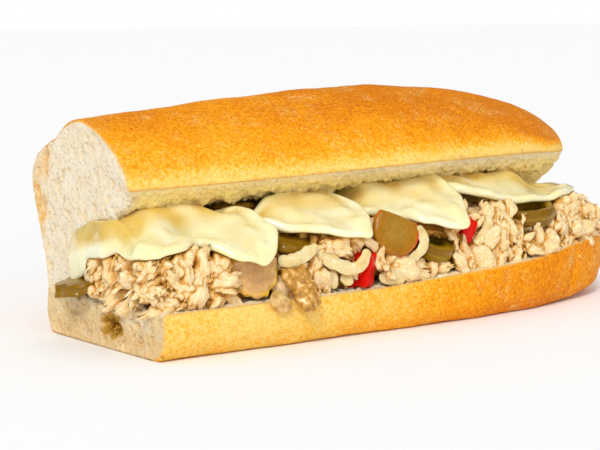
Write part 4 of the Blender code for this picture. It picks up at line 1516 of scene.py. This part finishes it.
class SANDWICH_OT_red_pepper(bpy.types.Operator):
    """Makes the dice of red pepper"""

    bl_idname = "sandwich.red_pepper"
    bl_label = "Red pepper"

    def execute(self, context):
        look = red_look(context.scene.sandwich_vegetables)
        for number, node in enumerate(["red_dice_front", "red_dice_right"]):
            seed = 71.0 + 3 * number
            body = soft_copy(node, levels=3, amount=0.25, size=2.4, seed=seed, crisp=0.75, widen=0.7)
            add_piece(node + "_wet", body, look, [node])
        return {"FINISHED"}


class SANDWICH_OT_onions(bpy.types.Operator):
    """Makes the strips and scraps of onion"""

    bl_idname = "sandwich.onions"
    bl_label = "Onions"

    def execute(self, context):
        settings = context.scene.sandwich_vegetables
        clear = onion_look("onion", settings.onion, settings.amber_onion)
        soaked_through = onion_look("soaked_onion", settings.amber_onion, settings.brined)
        for number, node in enumerate(ONIONS):
            look = soaked_through if node == "onion_scrap" else clear
            seed = 81.0 + 3 * number
            body = soft_copy(node, levels=2, amount=0.22, size=1.6, seed=seed, widen=0.55)
            if node == "onion_arc":
                place_all(body, coordinates(body) + ARC_SHIFT)
            add_piece(node + "_wet", body, look, [node])
        return {"FINISHED"}


class SANDWICH_OT_stage(bpy.types.Operator):
    """Makes the floor, the lights and the camera"""

    bl_idname = "sandwich.stage"
    bl_label = "Stage"

    def execute(self, context):
        make_stage(context.scene.sandwich_stage)
        return {"FINISHED"}


SETTINGS = {
    "sandwich_bread": SandwichBreadSettings,
    "sandwich_cheese": SandwichCheeseSettings,
    "sandwich_chicken": SandwichChickenSettings,
    "sandwich_vegetables": SandwichVegetableSettings,
    "sandwich_stage": SandwichStageSettings,
}
OPERATORS = [
    SANDWICH_OT_bread,
    SANDWICH_OT_cheese,
    SANDWICH_OT_chicken,
    SANDWICH_OT_browned_chunk,
    SANDWICH_OT_slices,
    SANDWICH_OT_red_pepper,
    SANDWICH_OT_onions,
    SANDWICH_OT_stage,
]


class SANDWICH_PT_pieces(bpy.types.Panel):
    """Lists the pieces of the sandwich"""

    bl_idname = "SANDWICH_PT_pieces"
    bl_label = "Submarine Sandwich"
    bl_space_type = "VIEW_3D"
    bl_region_type = "UI"
    bl_category = "Sandwich"

    def draw(self, context):
        for operator in OPERATORS:
            self.layout.operator(operator.bl_idname)
        for name, group in SETTINGS.items():
            box = self.layout.box()
            box.label(text=group.__doc__)
            for setting in group.__annotations__:
                box.prop(getattr(context.scene, name), setting)


def register():
    for group in [*SETTINGS.values(), *OPERATORS, SANDWICH_PT_pieces]:
        bpy.utils.register_class(group)
    for name, group in SETTINGS.items():
        setattr(bpy.types.Scene, name, PointerProperty(type=group))


def unregister():
    for name in SETTINGS:
        delattr(bpy.types.Scene, name)
    for group in reversed([*SETTINGS.values(), *OPERATORS, SANDWICH_PT_pieces]):
        bpy.utils.unregister_class(group)


def main():
    register()
    for operator in OPERATORS:
        family, action = operator.bl_idname.split(".")
        getattr(getattr(bpy.ops, family), action)()


if __name__ == "__main__":
    main()
